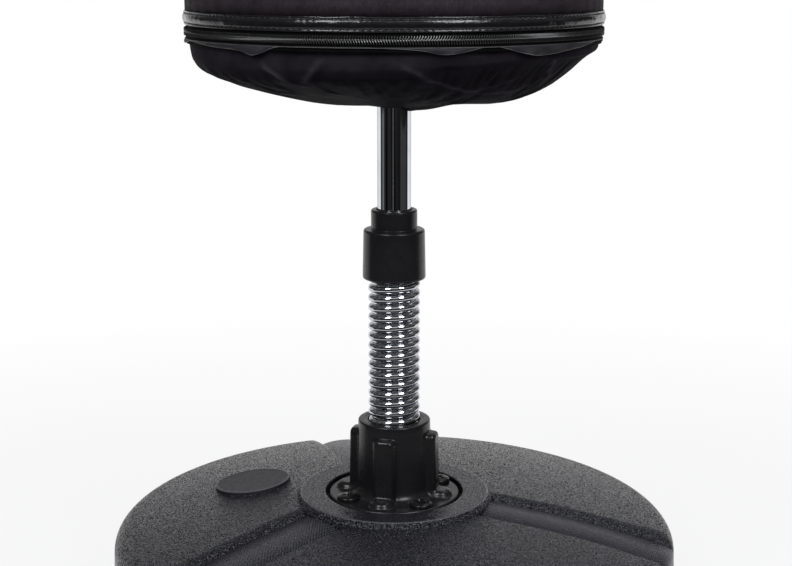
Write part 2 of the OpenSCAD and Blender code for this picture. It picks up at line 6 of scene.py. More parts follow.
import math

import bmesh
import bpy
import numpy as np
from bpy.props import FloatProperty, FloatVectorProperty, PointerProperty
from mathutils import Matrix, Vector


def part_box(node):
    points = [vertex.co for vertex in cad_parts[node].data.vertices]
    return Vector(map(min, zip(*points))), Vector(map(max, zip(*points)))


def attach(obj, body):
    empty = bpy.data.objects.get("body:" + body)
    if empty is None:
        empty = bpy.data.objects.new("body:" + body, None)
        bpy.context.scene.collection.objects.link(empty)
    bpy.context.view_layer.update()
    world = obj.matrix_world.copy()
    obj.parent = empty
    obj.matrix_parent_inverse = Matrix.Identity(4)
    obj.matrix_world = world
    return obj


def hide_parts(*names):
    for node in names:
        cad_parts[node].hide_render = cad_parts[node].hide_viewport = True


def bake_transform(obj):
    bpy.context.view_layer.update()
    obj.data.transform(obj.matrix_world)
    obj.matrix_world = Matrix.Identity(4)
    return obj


bl_info = {
    "name": "Spring reflex bag",
    "version": (1, 0, 0),
    "blender": (4, 5, 0),
    "location": "View3D > Sidebar > Reflex bag",
    "description": "Builds the surfaces and finishes of a free-standing spring reflex bag",
    "category": "Add Mesh",
}

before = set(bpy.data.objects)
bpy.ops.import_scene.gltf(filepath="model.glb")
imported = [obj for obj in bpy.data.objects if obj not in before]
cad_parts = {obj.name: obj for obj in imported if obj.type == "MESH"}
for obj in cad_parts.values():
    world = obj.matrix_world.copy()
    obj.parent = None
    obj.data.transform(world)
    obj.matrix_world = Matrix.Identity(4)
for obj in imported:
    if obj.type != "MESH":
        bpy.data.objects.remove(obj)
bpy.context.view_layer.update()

MM = 0.001
TURN = 2 * math.pi
MERGE = 1e-6
BLUNT = 35.0  # degrees up to which an edge is shaded round


def top(node):
    """Highest point of a CAD node."""
    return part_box(node)[1].z


def bottom(node):
    """Lowest point of a CAD node."""
    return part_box(node)[0].z


def reach(node):
    """Outer radius of a CAD node that is round about the Z axis."""
    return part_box(node)[1].x


# ------------------------------------------------------------------ properties


def length(name, text, default):
    """Property that holds a length in metres."""
    return FloatProperty(name=name, description=text, default=default, min=0.0, unit="LENGTH", precision=5)


def colour(name, text, default):
    """Property that holds a linear colour."""
    return FloatVectorProperty(
        name=name, description=text, default=default, size=3, min=0.0, max=1.0, subtype="COLOR"
    )


def share(name, text, default):
    """Property that holds a number from 0 to 1."""
    return FloatProperty(name=name, description=text, default=default, min=0.0, max=1.0, subtype="FACTOR")


class BaseLooks(bpy.types.PropertyGroup):
    """Sizes and colours of the tank and its fill cap."""

    ring_r: length("Ring radius", "Radius of the ring's flat top", 73 * MM)
    ring_edge: length("Ring edge", "Width of the ring's sloping edge", 3 * MM)
    ring_rise: length("Ring rise", "How far the ring stands above the lobes", 4.5 * MM)
    dome_r: length("Dome radius", "Radius of the dome that the lobes follow", 990 * MM)
    recess_r: length("Recess radius", "Radius of the recess round the socket", 53.5 * MM)
    shoulder: length("Shoulder", "Radius of the rounded shoulder", 14 * MM)
    channel_w: length("Channel width", "Half the channel's width", 24.6 * MM)
    channel_wall: length("Channel wall", "Width of a channel's sloping wall", 5 * MM)
    channel_depth: length("Groove depth", "Depth of the groove on each side of a channel", 5.7 * MM)
    ridge_r: length("Ridge radius", "Radius of the arched ridge in a channel", 40 * MM)
    wall: length("Wall", "Thickness of the blow-moulded wall", 3.5 * MM)
    cap_r: length("Cap radius", "Radius of the fill cap", 30 * MM)
    hole_r: length("Fill hole", "Radius of the fill hole", 22.5 * MM)
    tank: colour("Tank", "Colour of the moulded tank", (0.0099, 0.0097, 0.0132))
    cap: colour("Cap", "Colour of the fill cap", (0.0102, 0.0100, 0.0125))


class MastLooks(bpy.types.PropertyGroup):
    """Sizes and colours of the socket, spring, collar and pole."""

    rib_w: length("Rib width", "Width of a socket rib", 18 * MM)
    rib_r: length("Rib reach", "Distance of a rib's outer face from the axis", 34 * MM)
    foot_r: length("Foot reach", "Reach of a rib's foot from the axis", 46 * MM)
    screw_at: length("Screw circle", "Distance of the flange screws from the axis", 41 * MM)
    screw_r: length("Screw head", "Radius of a screw's head", 8.5 * MM)
    wire: length("Wire", "Diameter of the spring's wire", 6.5 * MM)
    pitch: length("Pitch", "Rise of one turn of the spring", 7.5 * MM)
    plastic: colour("Socket", "Colour of the moulded socket", (0.0085, 0.0080, 0.0090))
    rubber: colour("Collar", "Colour of the collar", (0.0095, 0.0085, 0.010))
    chrome: colour("Chrome", "Tint of the chrome plating", (0.76, 0.78, 0.82))


class BagLooks(bpy.types.PropertyGroup):
    """Sizes and colours of the bag's cover and its zip."""

    cover: length("Cover", "Thickness of the cover cloth", 1.2 * MM)
    ripple: length("Ripple", "Depth of the soft waves in the cover", 0.7 * MM)
    stitch: length("Stitch", "Distance between two stitches", 4.8 * MM)
    tooth: length("Coil pitch", "Distance between two turns of the zip coil", 1.79 * MM)
    fabric: colour("Wall", "Colour of the wall's cloth", (0.0244, 0.0192, 0.0235))
    leather: colour("Band", "Colour of the band above the zip", (0.006, 0.0054, 0.0066))
    lining: colour("Bottom", "Colour of the lining cloth underneath", (0.0140, 0.0118, 0.0158))
    hem: colour("Hem", "Colour of the hem binding", (0.0145, 0.0138, 0.0166))
    zip: colour("Zip", "Colour of the zip", (0.018, 0.018, 0.0175))


class StageLooks(bpy.types.PropertyGroup):
    """Camera and light."""

    lens: FloatProperty(name="Lens", description="Focal length in millimetres", default=68.18, unit="CAMERA")
    distance: length("Distance", "Distance of the camera in front of the pole", 1.115)
    height: length("Height", "Height of the camera above the floor", 0.571)
    offset: length("Offset", "Place of the camera to the right of the pole", 0.0014)
    tilt: FloatProperty(name="Tilt", description="Downward tilt", default=math.radians(12.2), subtype="ANGLE")
    softbox: FloatProperty(name="Softbox", description="Power of each strong softbox in watts", default=15.0)
    bounce: share("Bounce", "Share of the light that the floor throws back onto the object", 0.2)
    ambient: share("Ambient", "Strength of the light from all round", 0.26)


# ---------------------------------------------------------------------- meshes


def linked(name, points, faces):
    """Object with the given points and faces, linked to the scene."""
    mesh = bpy.data.meshes.new(name)
    mesh.from_pydata(points.reshape(-1, 3).tolist(), [], faces.tolist())
    made = bpy.data.objects.new(name, mesh)
    bpy.context.scene.collection.objects.link(made)
    return made


def merge(mesh, outwards=False):
    """Makes points nearer than MERGE one, turns the faces outwards if asked and shades them smooth."""
    work = bmesh.new()
    work.from_mesh(mesh)
    bmesh.ops.remove_doubles(work, verts=work.verts, dist=MERGE)
    if outwards:
        bmesh.ops.recalc_face_normals(work, faces=work.faces)
    work.to_mesh(mesh)
    work.free()
    mesh.shade_smooth()


def weigh(piece):
    """Lets the large faces set the shading of the small ones beside them."""
    piece.modifiers.new("Shading", "WEIGHTED_NORMAL").keep_sharp = True


def thicken(piece, name, thickness, offset=-1.0):
    """Gives a skin its thickness: inwards for an offset of -1, to both sides for 0 and outwards for 1."""
    wall = piece.modifiers.new(name, "SOLIDIFY")
    wall.thickness = thickness
    wall.offset = offset


def make(name, points, faces, smooth, weighted=False):
    """Object from points and faces. Doubles are merged, faces turned outwards and edges blunter than smooth
    shaded round, with the shading weighted where asked."""
    made = linked(name, points, faces)
    merge(made.data, outwards=True)
    made.data.set_sharp_from_angle(angle=math.radians(smooth))
    if weighted:
        weigh(made)
    return made


def grid_faces(rows, columns, around=False, along=False, first=0):
    """Quads of a grid: each joins a point with the next in its row and the two under them."""
    index = first + np.arange(rows * columns).reshape(rows, columns)
    if around:
        index = np.hstack([index, index[:, :1]])
    if along:
        index = np.vstack([index, index[:1]])
    corners = [index[:-1, :-1], index[1:, :-1], index[1:, 1:], index[:-1, 1:]]
    return np.stack(corners, axis=-1).reshape(-1, 4)


def make_many(name, grids, smooth=BLUNT):
    """Object from several grids of one size, each closed round its rows."""
    copies, rows, columns = grids.shape[:3]
    one = grid_faces(rows, columns, around=True)
    first = (np.arange(copies) * rows * columns)[:, None, None]
    return make(name, grids, (one[None] + first).reshape(-1, 4), smooth)


def surface(name, points, along=False, smooth=BLUNT, weighted=False):
    """Object from a grid of points that closes round its rows; along joins the last row to the first."""
    return make(name, points, grid_faces(*points.shape[:2], True, along), smooth, weighted)


def places(mesh):
    """Places of a mesh's vertices, one row each."""
    place = np.zeros(len(mesh.vertices) * 3)
    mesh.vertices.foreach_get("co", place)
    return place.reshape(-1, 3)


def write_attribute(mesh, name, values):
    """Writes one number, or three for a vector, to every vertex as an attribute."""
    values = np.ascontiguousarray(values, float).ravel()
    kind, key = ("FLOAT", "value") if len(values) == len(mesh.vertices) else ("FLOAT_VECTOR", "vector")
    mesh.attributes.new(name, kind, "POINT").data.foreach_set(key, values)


def rounded(corners, steps=5):
    """Outline through corners (r, z, rounding). A rounded corner becomes a quadratic curve that starts
    and ends that far from it on its two sides."""
    corners = np.array(corners, float)
    t = np.linspace(0, 1, steps)[:, None]
    line = []
    for before, here, after in zip(np.roll(corners, 1, 0), corners, np.roll(corners, -1, 0)):
        if here[2] == 0:
            line.append(here[None, :2])
            continue
        towards = [(p[:2] - here[:2]) / np.linalg.norm(p[:2] - here[:2]) * here[2] for p in (before, after)]
        start, end = here[:2] + towards[0], here[:2] + towards[1]
        line.append((1 - t) ** 2 * start + 2 * t * (1 - t) * here[:2] + t**2 * end)
    return np.vstack(line)


def turned(outline, steps=160):
    """Grid of an outline (r, z) turned round Z: each point becomes a circle of radius r at height z."""
    return on_bag(np.arange(steps) * TURN / steps, outline[:, :1], outline[:, 1:2])


def lathe(name, corners, steps=160):
    """Ring-shaped object of revolution from the corners of its closed outline."""
    return surface(name, turned(rounded(corners), steps), True, weighted=True)


def dress(piece, body, slot, finish, *nodes):
    """Gives a piece its finish and body, and hides the CAD nodes that it stands for. The slot is not used."""
    piece.data.materials.clear()
    piece.data.materials.append(finish)
    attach(piece, body)
    if nodes:
        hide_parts(*nodes)
    return piece


def soft_min(a, b, width):
    """Smaller of two heights, rounded over the given width. Of the distances from two solids it makes the
    distance from both together, with a fillet between them."""
    return np.minimum(a, b) - np.maximum(width - np.abs(a - b), 0) ** 2 / (4 * width)


def soft_max(a, b, width):
    """Larger of two heights, rounded over the given width."""
    return -soft_min(-a, -b, width)


def step(low, high, value):
    """Smooth rise from 0 at low to 1 at high: 3 t squared minus 2 t cubed."""
    t = np.clip((value - low) / (high - low), 0, 1)
    return t * t * (3 - 2 * t)


def bell(value, width):
    """Bell curve: 1 where the value is 0, and 1/e where it is the width."""
    return np.exp(-((value / width) ** 2))


def tube(name, centres, radius, sides):
    """Round tube along a line: circles of the given radius, square to the line, at every centre."""
    along = np.gradient(centres, axis=0)
    along /= np.linalg.norm(along, axis=1, keepdims=True)
    out = centres * [1, 1, 0]
    out /= np.maximum(np.linalg.norm(out, axis=1, keepdims=True), 1e-9)
    out -= along * np.sum(out * along, axis=1, keepdims=True)
    out /= np.linalg.norm(out, axis=1, keepdims=True)
    across = np.cross(along, out)
    angle = np.arange(sides) * TURN / sides
    points = centres[:, None] + radius * (
        np.cos(angle)[:, None] * out[:, None] + np.sin(angle)[:, None] * across[:, None]
    )
    first, last = (np.repeat(end, sides, 1) for end in (centres[None, :1], centres[None, -1:]))
    return surface(name, np.concatenate([first, points, last]), smooth=50)


def stitches(name, centres, along, out, size):
    """Row of sewn stitches: at each centre a lens whose half length, width and height are size. A point of
    it is the centre plus the cosine of latitude times the two short axes plus its sine times the long one."""
    lat = np.linspace(-1, 1, 5)[:, None] * math.pi / 2
    lon = np.arange(6) * TURN / 6
    template = np.stack([np.sin(lat) + 0 * lon, np.cos(lat) * np.cos(lon), np.cos(lat) * np.sin(lon)], -1)
    axes = np.stack([along * size[0], np.cross(out, along) * size[1], out * size[2]], axis=1)
    return make_many(name, centres[:, None, None] + np.einsum("ijk,nkl->nijl", template, axes))


def on_bag(angle, r, z):
    """Points at the given angles, radii and heights round the Z axis."""
    angle, r, z = np.broadcast_arrays(angle, r, z)
    return np.stack([r * np.cos(angle), r * np.sin(angle), z], axis=-1)


def waves(angle, height, seed, count=14, finest=9):
    """Soft random surface of about unit size: a sum of sines whose numbers of waves round the bag and
    up the bag are drawn from a seeded generator."""
    draw = np.random.default_rng(seed)
    total = 0 * angle * height
    for _ in range(count):
        turns = draw.integers(1, finest)
        rise = draw.uniform(-26, 26)
        total = total + np.sin(turns * angle + rise * height + draw.uniform(0, TURN))
    return total / math.sqrt(count)


# -------------------------------------------------------------------- finishes


class Nodes:
    """Short calls that fill one node tree. Its patterns lie on the given texture coordinates."""

    def __init__(self, tree, coordinates):
        self.tree = tree
        self.tree.nodes.clear()
        self.place = self.node("TexCoord").outputs[coordinates]

    def node(self, kind, sockets=None, **settings):
        """New node; a socket's value is a number, a colour or another node's output."""
        made = self.tree.nodes.new("ShaderNode" + kind)
        for key, value in settings.items():
            setattr(made, key, value)
        for key, value in (sockets or {}).items():
            socket = made.inputs[key]
            if isinstance(value, bpy.types.NodeSocket):
                self.tree.links.new(value, socket)
            elif socket.type == "RGBA":
                socket.default_value = (*value, 1.0)
            else:
                socket.default_value = value
        return made

    def parts(self, value):
        """X, Y and Z of a vector."""
        return self.node("SeparateXYZ", {0: value}).outputs

    def from_axis(self):
        """Distance from the Z axis."""
        squares = [self.maths("MULTIPLY", part, part) for part in self.parts(self.place)[:2]]
        return self.maths("SQRT", self.maths("ADD", *squares))

    def attribute(self, name, output="Fac"):
        """Attribute of the piece, as a number or as the output Vector."""
        return self.node("Attribute", attribute_name=name).outputs[output]

    def stretched(self, scale, at=None):
        """Object coordinates, or others, scaled along each axis."""
        return self.node("Mapping", {"Vector": at or self.place, "Scale": scale}).outputs[0]

    def noise(self, scale, detail=2.0, rough=0.5, at=None):
        """Noise from 0 to 1."""
        sockets = {"Scale": scale, "Detail": detail, "Roughness": rough, "Vector": at or self.place}
        return self.node("TexNoise", sockets).outputs["Fac"]

    def cells(self, scale, feature="F1"):
        """Distance to the nearest cell of a Voronoi pattern."""
        made = self.node("TexVoronoi", {"Scale": scale, "Vector": self.place}, feature=feature)
        return made.outputs["Distance"]

    def ranged(self, value, low, high, to_low=0.0, to_high=1.0):
        """Value brought from one range to another, held at its ends."""
        sockets = {"Value": value, "From Min": low, "From Max": high, "To Min": to_low, "To Max": to_high}
        return self.node("MapRange", sockets).outputs[0]

    def maths(self, operation, a, b=0.0):
        """Sum, product or other operation of two values."""
        return self.node("Math", {0: a, 1: b}, operation=operation).outputs[0]

    def vector(self, operation, a, b=(0, 0, 0)):
        """Sum, product or other operation of two vectors."""
        return self.node("VectorMath", {0: a, 1: b}, operation=operation).outputs[0]

    def scaled(self, value, factor):
        """Vector times a number."""
        return self.node("VectorMath", {0: value, "Scale": factor}, operation="SCALE").outputs[0]

    def mixed(self, factor, a, b):
        """Colour between a and b, each a colour or another node's output."""
        return self.node("Mix", {0: factor, 6: a, 7: b}, data_type="RGBA").outputs[2]

    def either(self, switch, a, b):
        """Number a where the switch is 0 and b where it is 1."""
        return self.node("Mix", {0: switch, 2: a, 3: b}, data_type="FLOAT").outputs[0]

    def bump(self, height, depth, strength, below=None):
        """Normal of a height pattern whose full depth is given in metres."""
        sockets = {"Height": height, "Distance": depth, "Strength": strength}
        if below is not None:
            sockets["Normal"] = below
        return self.node("Bump", sockets).outputs[0]

    def mirrored(self, path):
        """1 for a ray that gloss or glass sends on, from the outputs of a Light Path node."""
        return self.maths("MAXIMUM", path["Is Glossy Ray"], path["Is Transmission Ray"])


class Finish(Nodes):
    """Material with a Principled shader, whose plain values are named like its sockets with _ for a space."""

    def __init__(self, name, **values):
        self.material = bpy.data.materials.new(name)
        self.material.use_nodes = True
        super().__init__(self.material.node_tree, "Object")
        self.skin = self.node("BsdfPrincipled", {key.replace("_", " "): values[key] for key in values})
        self.end = self.node("OutputMaterial", {"Surface": self.skin.outputs[0]})

    def feed(self, socket, value):
        """Links a value to a socket of the shader."""
        self.tree.links.new(value, self.skin.inputs[socket])

    def flat(self):
        """The piece's own UV map, in metres."""
        return self.node("UVMap", uv_map="cloth").outputs[0]

    def weave(self, flat, pitch):
        """Plain weave: the product of two sine waves, one across the warp and one across the weft."""
        phases = [self.maths("MULTIPLY", part, TURN / pitch) for part in self.parts(flat)[:2]]
        return self.ranged(self.maths("MULTIPLY", *(self.maths("SINE", phase) for phase in phases)), -1, 1)


def tint(rgb, factor):
    """Colour times a factor."""
    return tuple(min(1.0, c * factor) for c in rgb)


def moulded(name, rgb, rough, grain=None, **values):
    """Moulded plastic or rubber: slow shade changes, uneven gloss and a fine grain of a depth and size."""
    f = Finish(name, **values)
    f.feed("Base Color", f.mixed(f.ranged(f.noise(40, 3), 0.3, 0.7), tint(rgb, 0.85), tint(rgb, 1.2)))
    f.feed("Roughness", f.ranged(f.noise(180, 4), 0.25, 0.75, rough * 0.85, rough * 1.15))
    skin = f.bump(f.noise(260, 3), 0.05 * MM, 0.35)
    if grain:
        depth, size = grain
        skin = f.bump(f.cells(1 / size), depth, 1.0, skin)
    f.feed("Normal", skin)
    return f.material


def tank_finish(looks):
    """Blow-moulded tank. Its pebbled skin tilts the normal by a random vector from a fine noise, least on the
    ring, whose edge is painted lighter as a highlight line. The same noise varies the colour: random tone,
    with painted shade in the pebbles' hollows and painted glint on their peaks. Where the attribute channel
    marks the knurl, two sine waves along the diagonals of the channel tilt it instead, and they paint its
    valleys
    darker and its tops lighter: painted shade and highlight."""
    pebble_size, knurl_pitch, diagonal = 1.15 * MM, 1.9 * MM, 0.7071
    f = Finish("pebbled_tank", IOR=1.46, Specular_Tint=(0.93, 0.93, 1.0))
    rgb = tuple(looks.tank)
    normal = f.node("NewGeometry").outputs["Normal"]
    grain = f.node("TexNoise", {"Scale": 1 / pebble_size, "Detail": 1.0, "Vector": f.place})
    pebble = f.vector("SUBTRACT", grain.outputs["Color"], (0.5, 0.5, 0.5))
    away = f.from_axis()
    coarse = f.ranged(away, looks.ring_r, looks.ring_r + 0.4 * MM, 1.3, 4.2)
    pebble_skin = f.vector("ADD", normal, f.scaled(pebble, coarse))
    along, across, floor = f.parts(f.attribute("channel", "Vector"))
    way = f.attribute("channel_way", "Vector")
    side = f.vector("CROSS_PRODUCT", normal, way)
    knurl_skin, tops = normal, 0.0
    for operation in ("ADD", "SUBTRACT"):
        phase = f.maths("MULTIPLY", f.maths(operation, along, across), TURN * diagonal / knurl_pitch)
        tops = f.maths("SUBTRACT", tops, f.maths("COSINE", phase))
        slope = f.maths("MULTIPLY", f.maths("SINE", phase), 0.8)
        knurl_skin = f.vector("ADD", knurl_skin, f.scaled(f.vector(operation, way, side), slope))
    skin = f.node("Mix", {0: floor, 4: pebble_skin, 5: knurl_skin}, data_type="VECTOR").outputs[1]
    f.feed("Normal", f.vector("NORMALIZE", skin))
    # Random tone of the pebbles, with painted shade in their hollows and painted glint on their peaks.
    speck_and_shade = f.mixed(f.ranged(grain.outputs["Fac"], 0.35, 0.65), tint(rgb, 0.75), tint(rgb, 1.25))
    # Painted shade in the knurl's valleys and painted highlight on its tops.
    knurl_shade = f.mixed(f.ranged(tops, -1.6, 1.6), tint(rgb, 0.05), tint(rgb, 4.2))
    # Lighter line along the ring's top edge: a painted highlight.
    from_edge = f.maths("ABSOLUTE", f.maths("SUBTRACT", away, looks.ring_r - 0.3 * MM))
    edge_highlight = f.ranged(from_edge, 0.25 * MM, 0.8 * MM, 0.8, 0.0)
    f.feed("Base Color", f.mixed(edge_highlight, f.mixed(floor, speck_and_shade, knurl_shade), (0.075, 0.075, 0.08)))
    f.feed("Roughness", f.ranged(f.noise(500), 0.3, 0.7, 0.24, 0.36))
    return f.material


def cap_finish(looks):
    """Smooth matte cap with a fine grain; its attribute rim marks the edge painted lighter, a painted
    highlight.
    """
    f = Finish("cap_plastic", IOR=1.48)
    rgb = tuple(looks.cap)
    plain = f.mixed(f.noise(60, 3), tint(rgb, 0.85), tint(rgb, 1.15))
    # The rim is painted seven times lighter: a painted highlight along the top edge.
    f.feed("Base Color", f.mixed(f.attribute("rim"), plain, tint(rgb, 7)))
    f.feed("Roughness", f.ranged(f.noise(300, 3), 0.3, 0.7, 0.46, 0.58))
    f.feed("Normal", f.bump(f.cells(1 / (0.5 * MM)), 0.03 * MM, 1.0))
    return f.material


def chrome_finish(name, rgb, rough, **values):
    """Chrome plating: a mirror with faint drawing lines along Z and small dull clouds."""
    f = Finish(name, Metallic=1.0, **values)
    f.feed("Base Color", f.mixed(f.ranged(f.noise(55, 4), 0.35, 0.7), rgb, tint(rgb, 0.88)))
    f.feed("Roughness", f.ranged(f.noise(120, 5), 0.3, 0.8, rough * 0.7, rough * 2.2))
    f.feed("Normal", f.bump(f.noise(1, at=f.stretched((900, 900, 12))), 0.002 * MM, 0.3))
    return f.material


def metal_finish(name, rgb, rough):
    """Turned metal: fine rings and uneven gloss."""
    f = Finish(name, Metallic=1.0)
    f.feed("Base Color", f.mixed(f.noise(90, 3), tint(rgb, 0.85), tint(rgb, 1.1)))
    f.feed("Roughness", f.ranged(f.noise(300, 4), 0.3, 0.7, rough * 0.8, rough * 1.3))
    f.feed("Normal", f.bump(f.noise(1, at=f.stretched((60, 60, 2400))), 0.01 * MM, 0.5))
    return f.material


def wall_finish(looks):
    """Cloth of the wall: threads crossing in the piece's own UV map, in metres, under a mottled shade."""
    f = Finish("wall_cloth", IOR=1.4, Specular_IOR_Level=0.08)
    rgb = tuple(looks.fabric)
    flat = f.flat()
    specks = f.noise(1, 3, 0.6, at=f.stretched((620, 260, 1), flat))
    clouds = f.noise(1, 3, 0.5, at=f.stretched((75, 40, 1), flat))
    shade = f.maths("ADD", f.maths("MULTIPLY", specks, 0.55), f.maths("MULTIPLY", clouds, 0.45))
    f.feed("Base Color", f.mixed(f.ranged(shade, 0.36, 0.66), tint(rgb, 0.62), tint(rgb, 1.45)))
    f.feed("Roughness", f.ranged(specks, 0.3, 0.7, 0.50, 0.68))
    f.feed("Normal", f.bump(f.weave(flat, 0.55 * MM), 0.12 * MM, 0.8, f.bump(specks, 0.2 * MM, 0.5)))
    return f.material


def cloth_finish(name, rgb, pitch, rough, shine, depth=0.08 * MM):
    """Plain cloth or tape whose threads cross in the piece's own UV map, in metres. The crests of its folds,
    which an attribute marks, are painted lighter: a painted sheen highlight."""
    f = Finish(name, IOR=1.4, Specular_IOR_Level=shine)
    clouds = f.noise(70, 4)
    crest_sheen = f.maths("MULTIPLY", f.attribute("crest_sheen"), f.ranged(clouds, 0.3, 0.6, 0.3, 1))
    plain = f.mixed(f.ranged(clouds, 0.3, 0.7), tint(rgb, 0.75), tint(rgb, 1.3))
    # Fold crests painted lighter: a painted sheen highlight.
    f.feed("Base Color", f.mixed(crest_sheen, plain, tint(rgb, 4.2)))
    f.feed("Roughness", f.ranged(f.noise(400), 0.3, 0.7, rough * 0.9, rough * 1.08))
    f.feed("Normal", f.bump(f.weave(f.flat(), pitch), depth, 0.8, f.bump(f.noise(150, 3), 0.1 * MM, 0.4)))
    return f.material


def leather_finish(looks):
    """Coated leather cloth: a shiny skin with pores, small puckers and fine creases along the band."""
    f = Finish("band_leather", IOR=1.45, Specular_IOR_Level=0.6)
    rgb = tuple(looks.leather)
    pores = f.cells(1 / (0.9 * MM), "DISTANCE_TO_EDGE")
    folds = f.noise(1, 4, 0.6, at=f.stretched((130, 130, 700)))
    f.feed("Base Color", f.mixed(f.noise(90, 3), tint(rgb, 0.7), tint(rgb, 1.35)))
    f.feed("Roughness", f.ranged(folds, 0.3, 0.7, 0.14, 0.24))
    puckers = f.bump(f.noise(170), 0.8 * MM, 0.6)
    f.feed("Normal", f.bump(pores, 0.03 * MM, 0.5, f.bump(folds, 0.22 * MM, 0.6, puckers)))
    return f.material


def loose_finish(name, rgb, grain_size, depth, rough=0.9):
    """Open foam, wadding or sand: cells of the given size."""
    f = Finish(name)
    cells = f.cells(1 / grain_size)
    f.feed("Base Color", f.mixed(f.ranged(cells, 0.1, 0.7), tint(rgb, 0.7), tint(rgb, 1.1)))
    f.feed("Roughness", f.ranged(f.noise(300), 0.3, 0.7, rough - 0.08, rough + 0.05))
    f.feed("Normal", f.bump(cells, depth, 0.9))
    return f.material


# ------------------------------------------------------------------- operators


class Maker:
    """What every operator of this add-on shares."""

    bl_options = {"REGISTER", "UNDO"}

    def execute(self, context):
        """Builds the pieces; any fault stops the script."""
        self.build(context.scene)
        return {"FINISHED"}


# ------------------------------------------------------------------------ base

CHANNEL_TURNS = np.radians([103, 223, 343])
CAP_TURN = math.radians(162)
CAP_DIST = 120 * MM
SEAT_DROP = 0.6 * MM
NECK_DEPTH = 16 * MM
FLOOR_Z = 6 * MM  # underside of the tank inside the ring that it stands on
CLEAR = 1.0  # stands for a height or a distance beyond every form


def ring_foot(looks):
    """Radius at which the ring's sloping edge meets the lobes."""
    return looks.ring_r + looks.ring_edge


def dome(r, looks):
    """Height of the lobes at radius r: a sphere through the ring's foot."""
    crown = top("base_tank") - looks.ring_rise
    return crown + np.sqrt(looks.dome_r**2 - r**2) - math.sqrt(looks.dome_r**2 - ring_foot(looks) ** 2)


class Shoulder:
    """The rounded shoulder that joins the lobes to the side wall."""

    def __init__(self, looks):
        self.round = looks.shoulder
        self.foot_r = reach("base_tank")
        self.wall_r = self.foot_r - 5 * MM
        self.meet_r = (self.wall_r - self.round) / (1 - self.round / looks.dome_r)
        slope = math.asin(self.meet_r / looks.dome_r)
        self.z = float(dome(self.meet_r, looks)) - self.round * math.cos(slope)

    def height(self, r):
        """Height of the shoulder's arc at radius r."""
        across = np.clip((r - self.wall_r + self.round) / self.round, -1, 1)
        return self.z + self.round * np.sqrt(1 - across**2)


def tank_columns():
    """Shares of a half sector, from 0 on the channel's line to 3 between two channels: 0 to 1 is the
    channel's ridge, 1 to 2 its wall and 2 to 3 the lobe."""
    ridge = np.linspace(0, 1, 13)[:-1]
    wall = 1 + np.linspace(0, 1, 9)[:-1]
    lobe = 2 + np.linspace(0, 1, 32) ** 1.6
    half = np.concatenate([ridge, wall, lobe])
    return np.concatenate([-half[::-1], half[1:]])[:-1]


def tank_top(r, columns, looks, shoulder):
    """Angles and heights of the tank's top for every radius and column, with the channel coordinates.

    The columns follow the channels' edges. A channel is the rounded larger of an arched ridge, a circle's
    arc across the channel that follows the dome outwards, and of the two walls that rise beside it. The
    top is the rounded smaller of lobe and channel, and the ring's steep edge stands above both."""
    r = r[:, None]
    near_r = np.maximum(r, 50 * MM)
    groove = looks.channel_w - looks.channel_wall
    knots = np.stack([0 * near_r, np.arcsin(groove / near_r), np.arcsin(looks.channel_w / near_r),
                      0 * near_r + TURN / 6])
    part = np.clip(np.abs(columns).astype(int), 0, 2)
    inside = np.abs(columns) - part
    at = [knots[part + k, np.arange(len(r))[:, None], 0] for k in (0, 1)]
    away = np.sign(columns) * (at[0] * (1 - inside) + at[1] * inside)
    along, across = r * np.cos(away), r * np.sin(away)
    low = dome(np.maximum(along, 0), looks) - looks.channel_depth
    arch = np.sqrt(np.maximum(looks.ridge_r**2 - across**2, 0)) - math.sqrt(looks.ridge_r**2 - groove**2)
    wall = (np.abs(across) - groove) * looks.channel_depth / looks.channel_wall
    channel = low + soft_max(arch, wall, 1.6 * MM)
    on_lobe, fall = r < shoulder.meet_r, shoulder.height(r)
    edge_round = 3.6 * MM + 5 * MM * step(150 * MM, 212 * MM, r)
    height = soft_min(np.where(on_lobe, dome(r, looks), fall), np.where(wall > 12 * MM, CLEAR, channel),
                      edge_round)
    height = np.minimum(height, np.where(on_lobe, CLEAR, fall))
    foot_r = ring_foot(looks)
    ring_slope = 6
    height = soft_max(height, float(dome(foot_r, looks)) - ring_slope * (r - foot_r), 1.2 * MM)
    knurled = step(groove - 0.6 * MM, groove - 1.6 * MM, np.abs(across)) * (r > foot_r + 1 * MM)
    return away, height, np.stack([along, across, knurled], axis=-1)


def cap_frame(looks):
    """Origin and axes of the fill cap: its Z is the lobe's normal."""
    tilt = math.asin(CAP_DIST / looks.dome_r)
    out = Vector((math.cos(CAP_TURN), math.sin(CAP_TURN), 0))
    up = Vector((0, 0, 1))
    z_axis = up * math.cos(tilt) + out * math.sin(tilt)
    x_axis = out * math.cos(tilt) - up * math.sin(tilt)
    origin = out * CAP_DIST + up * float(dome(CAP_DIST, looks)) - z_axis * SEAT_DROP
    return np.array(origin), np.array([x_axis, z_axis.cross(x_axis), z_axis])


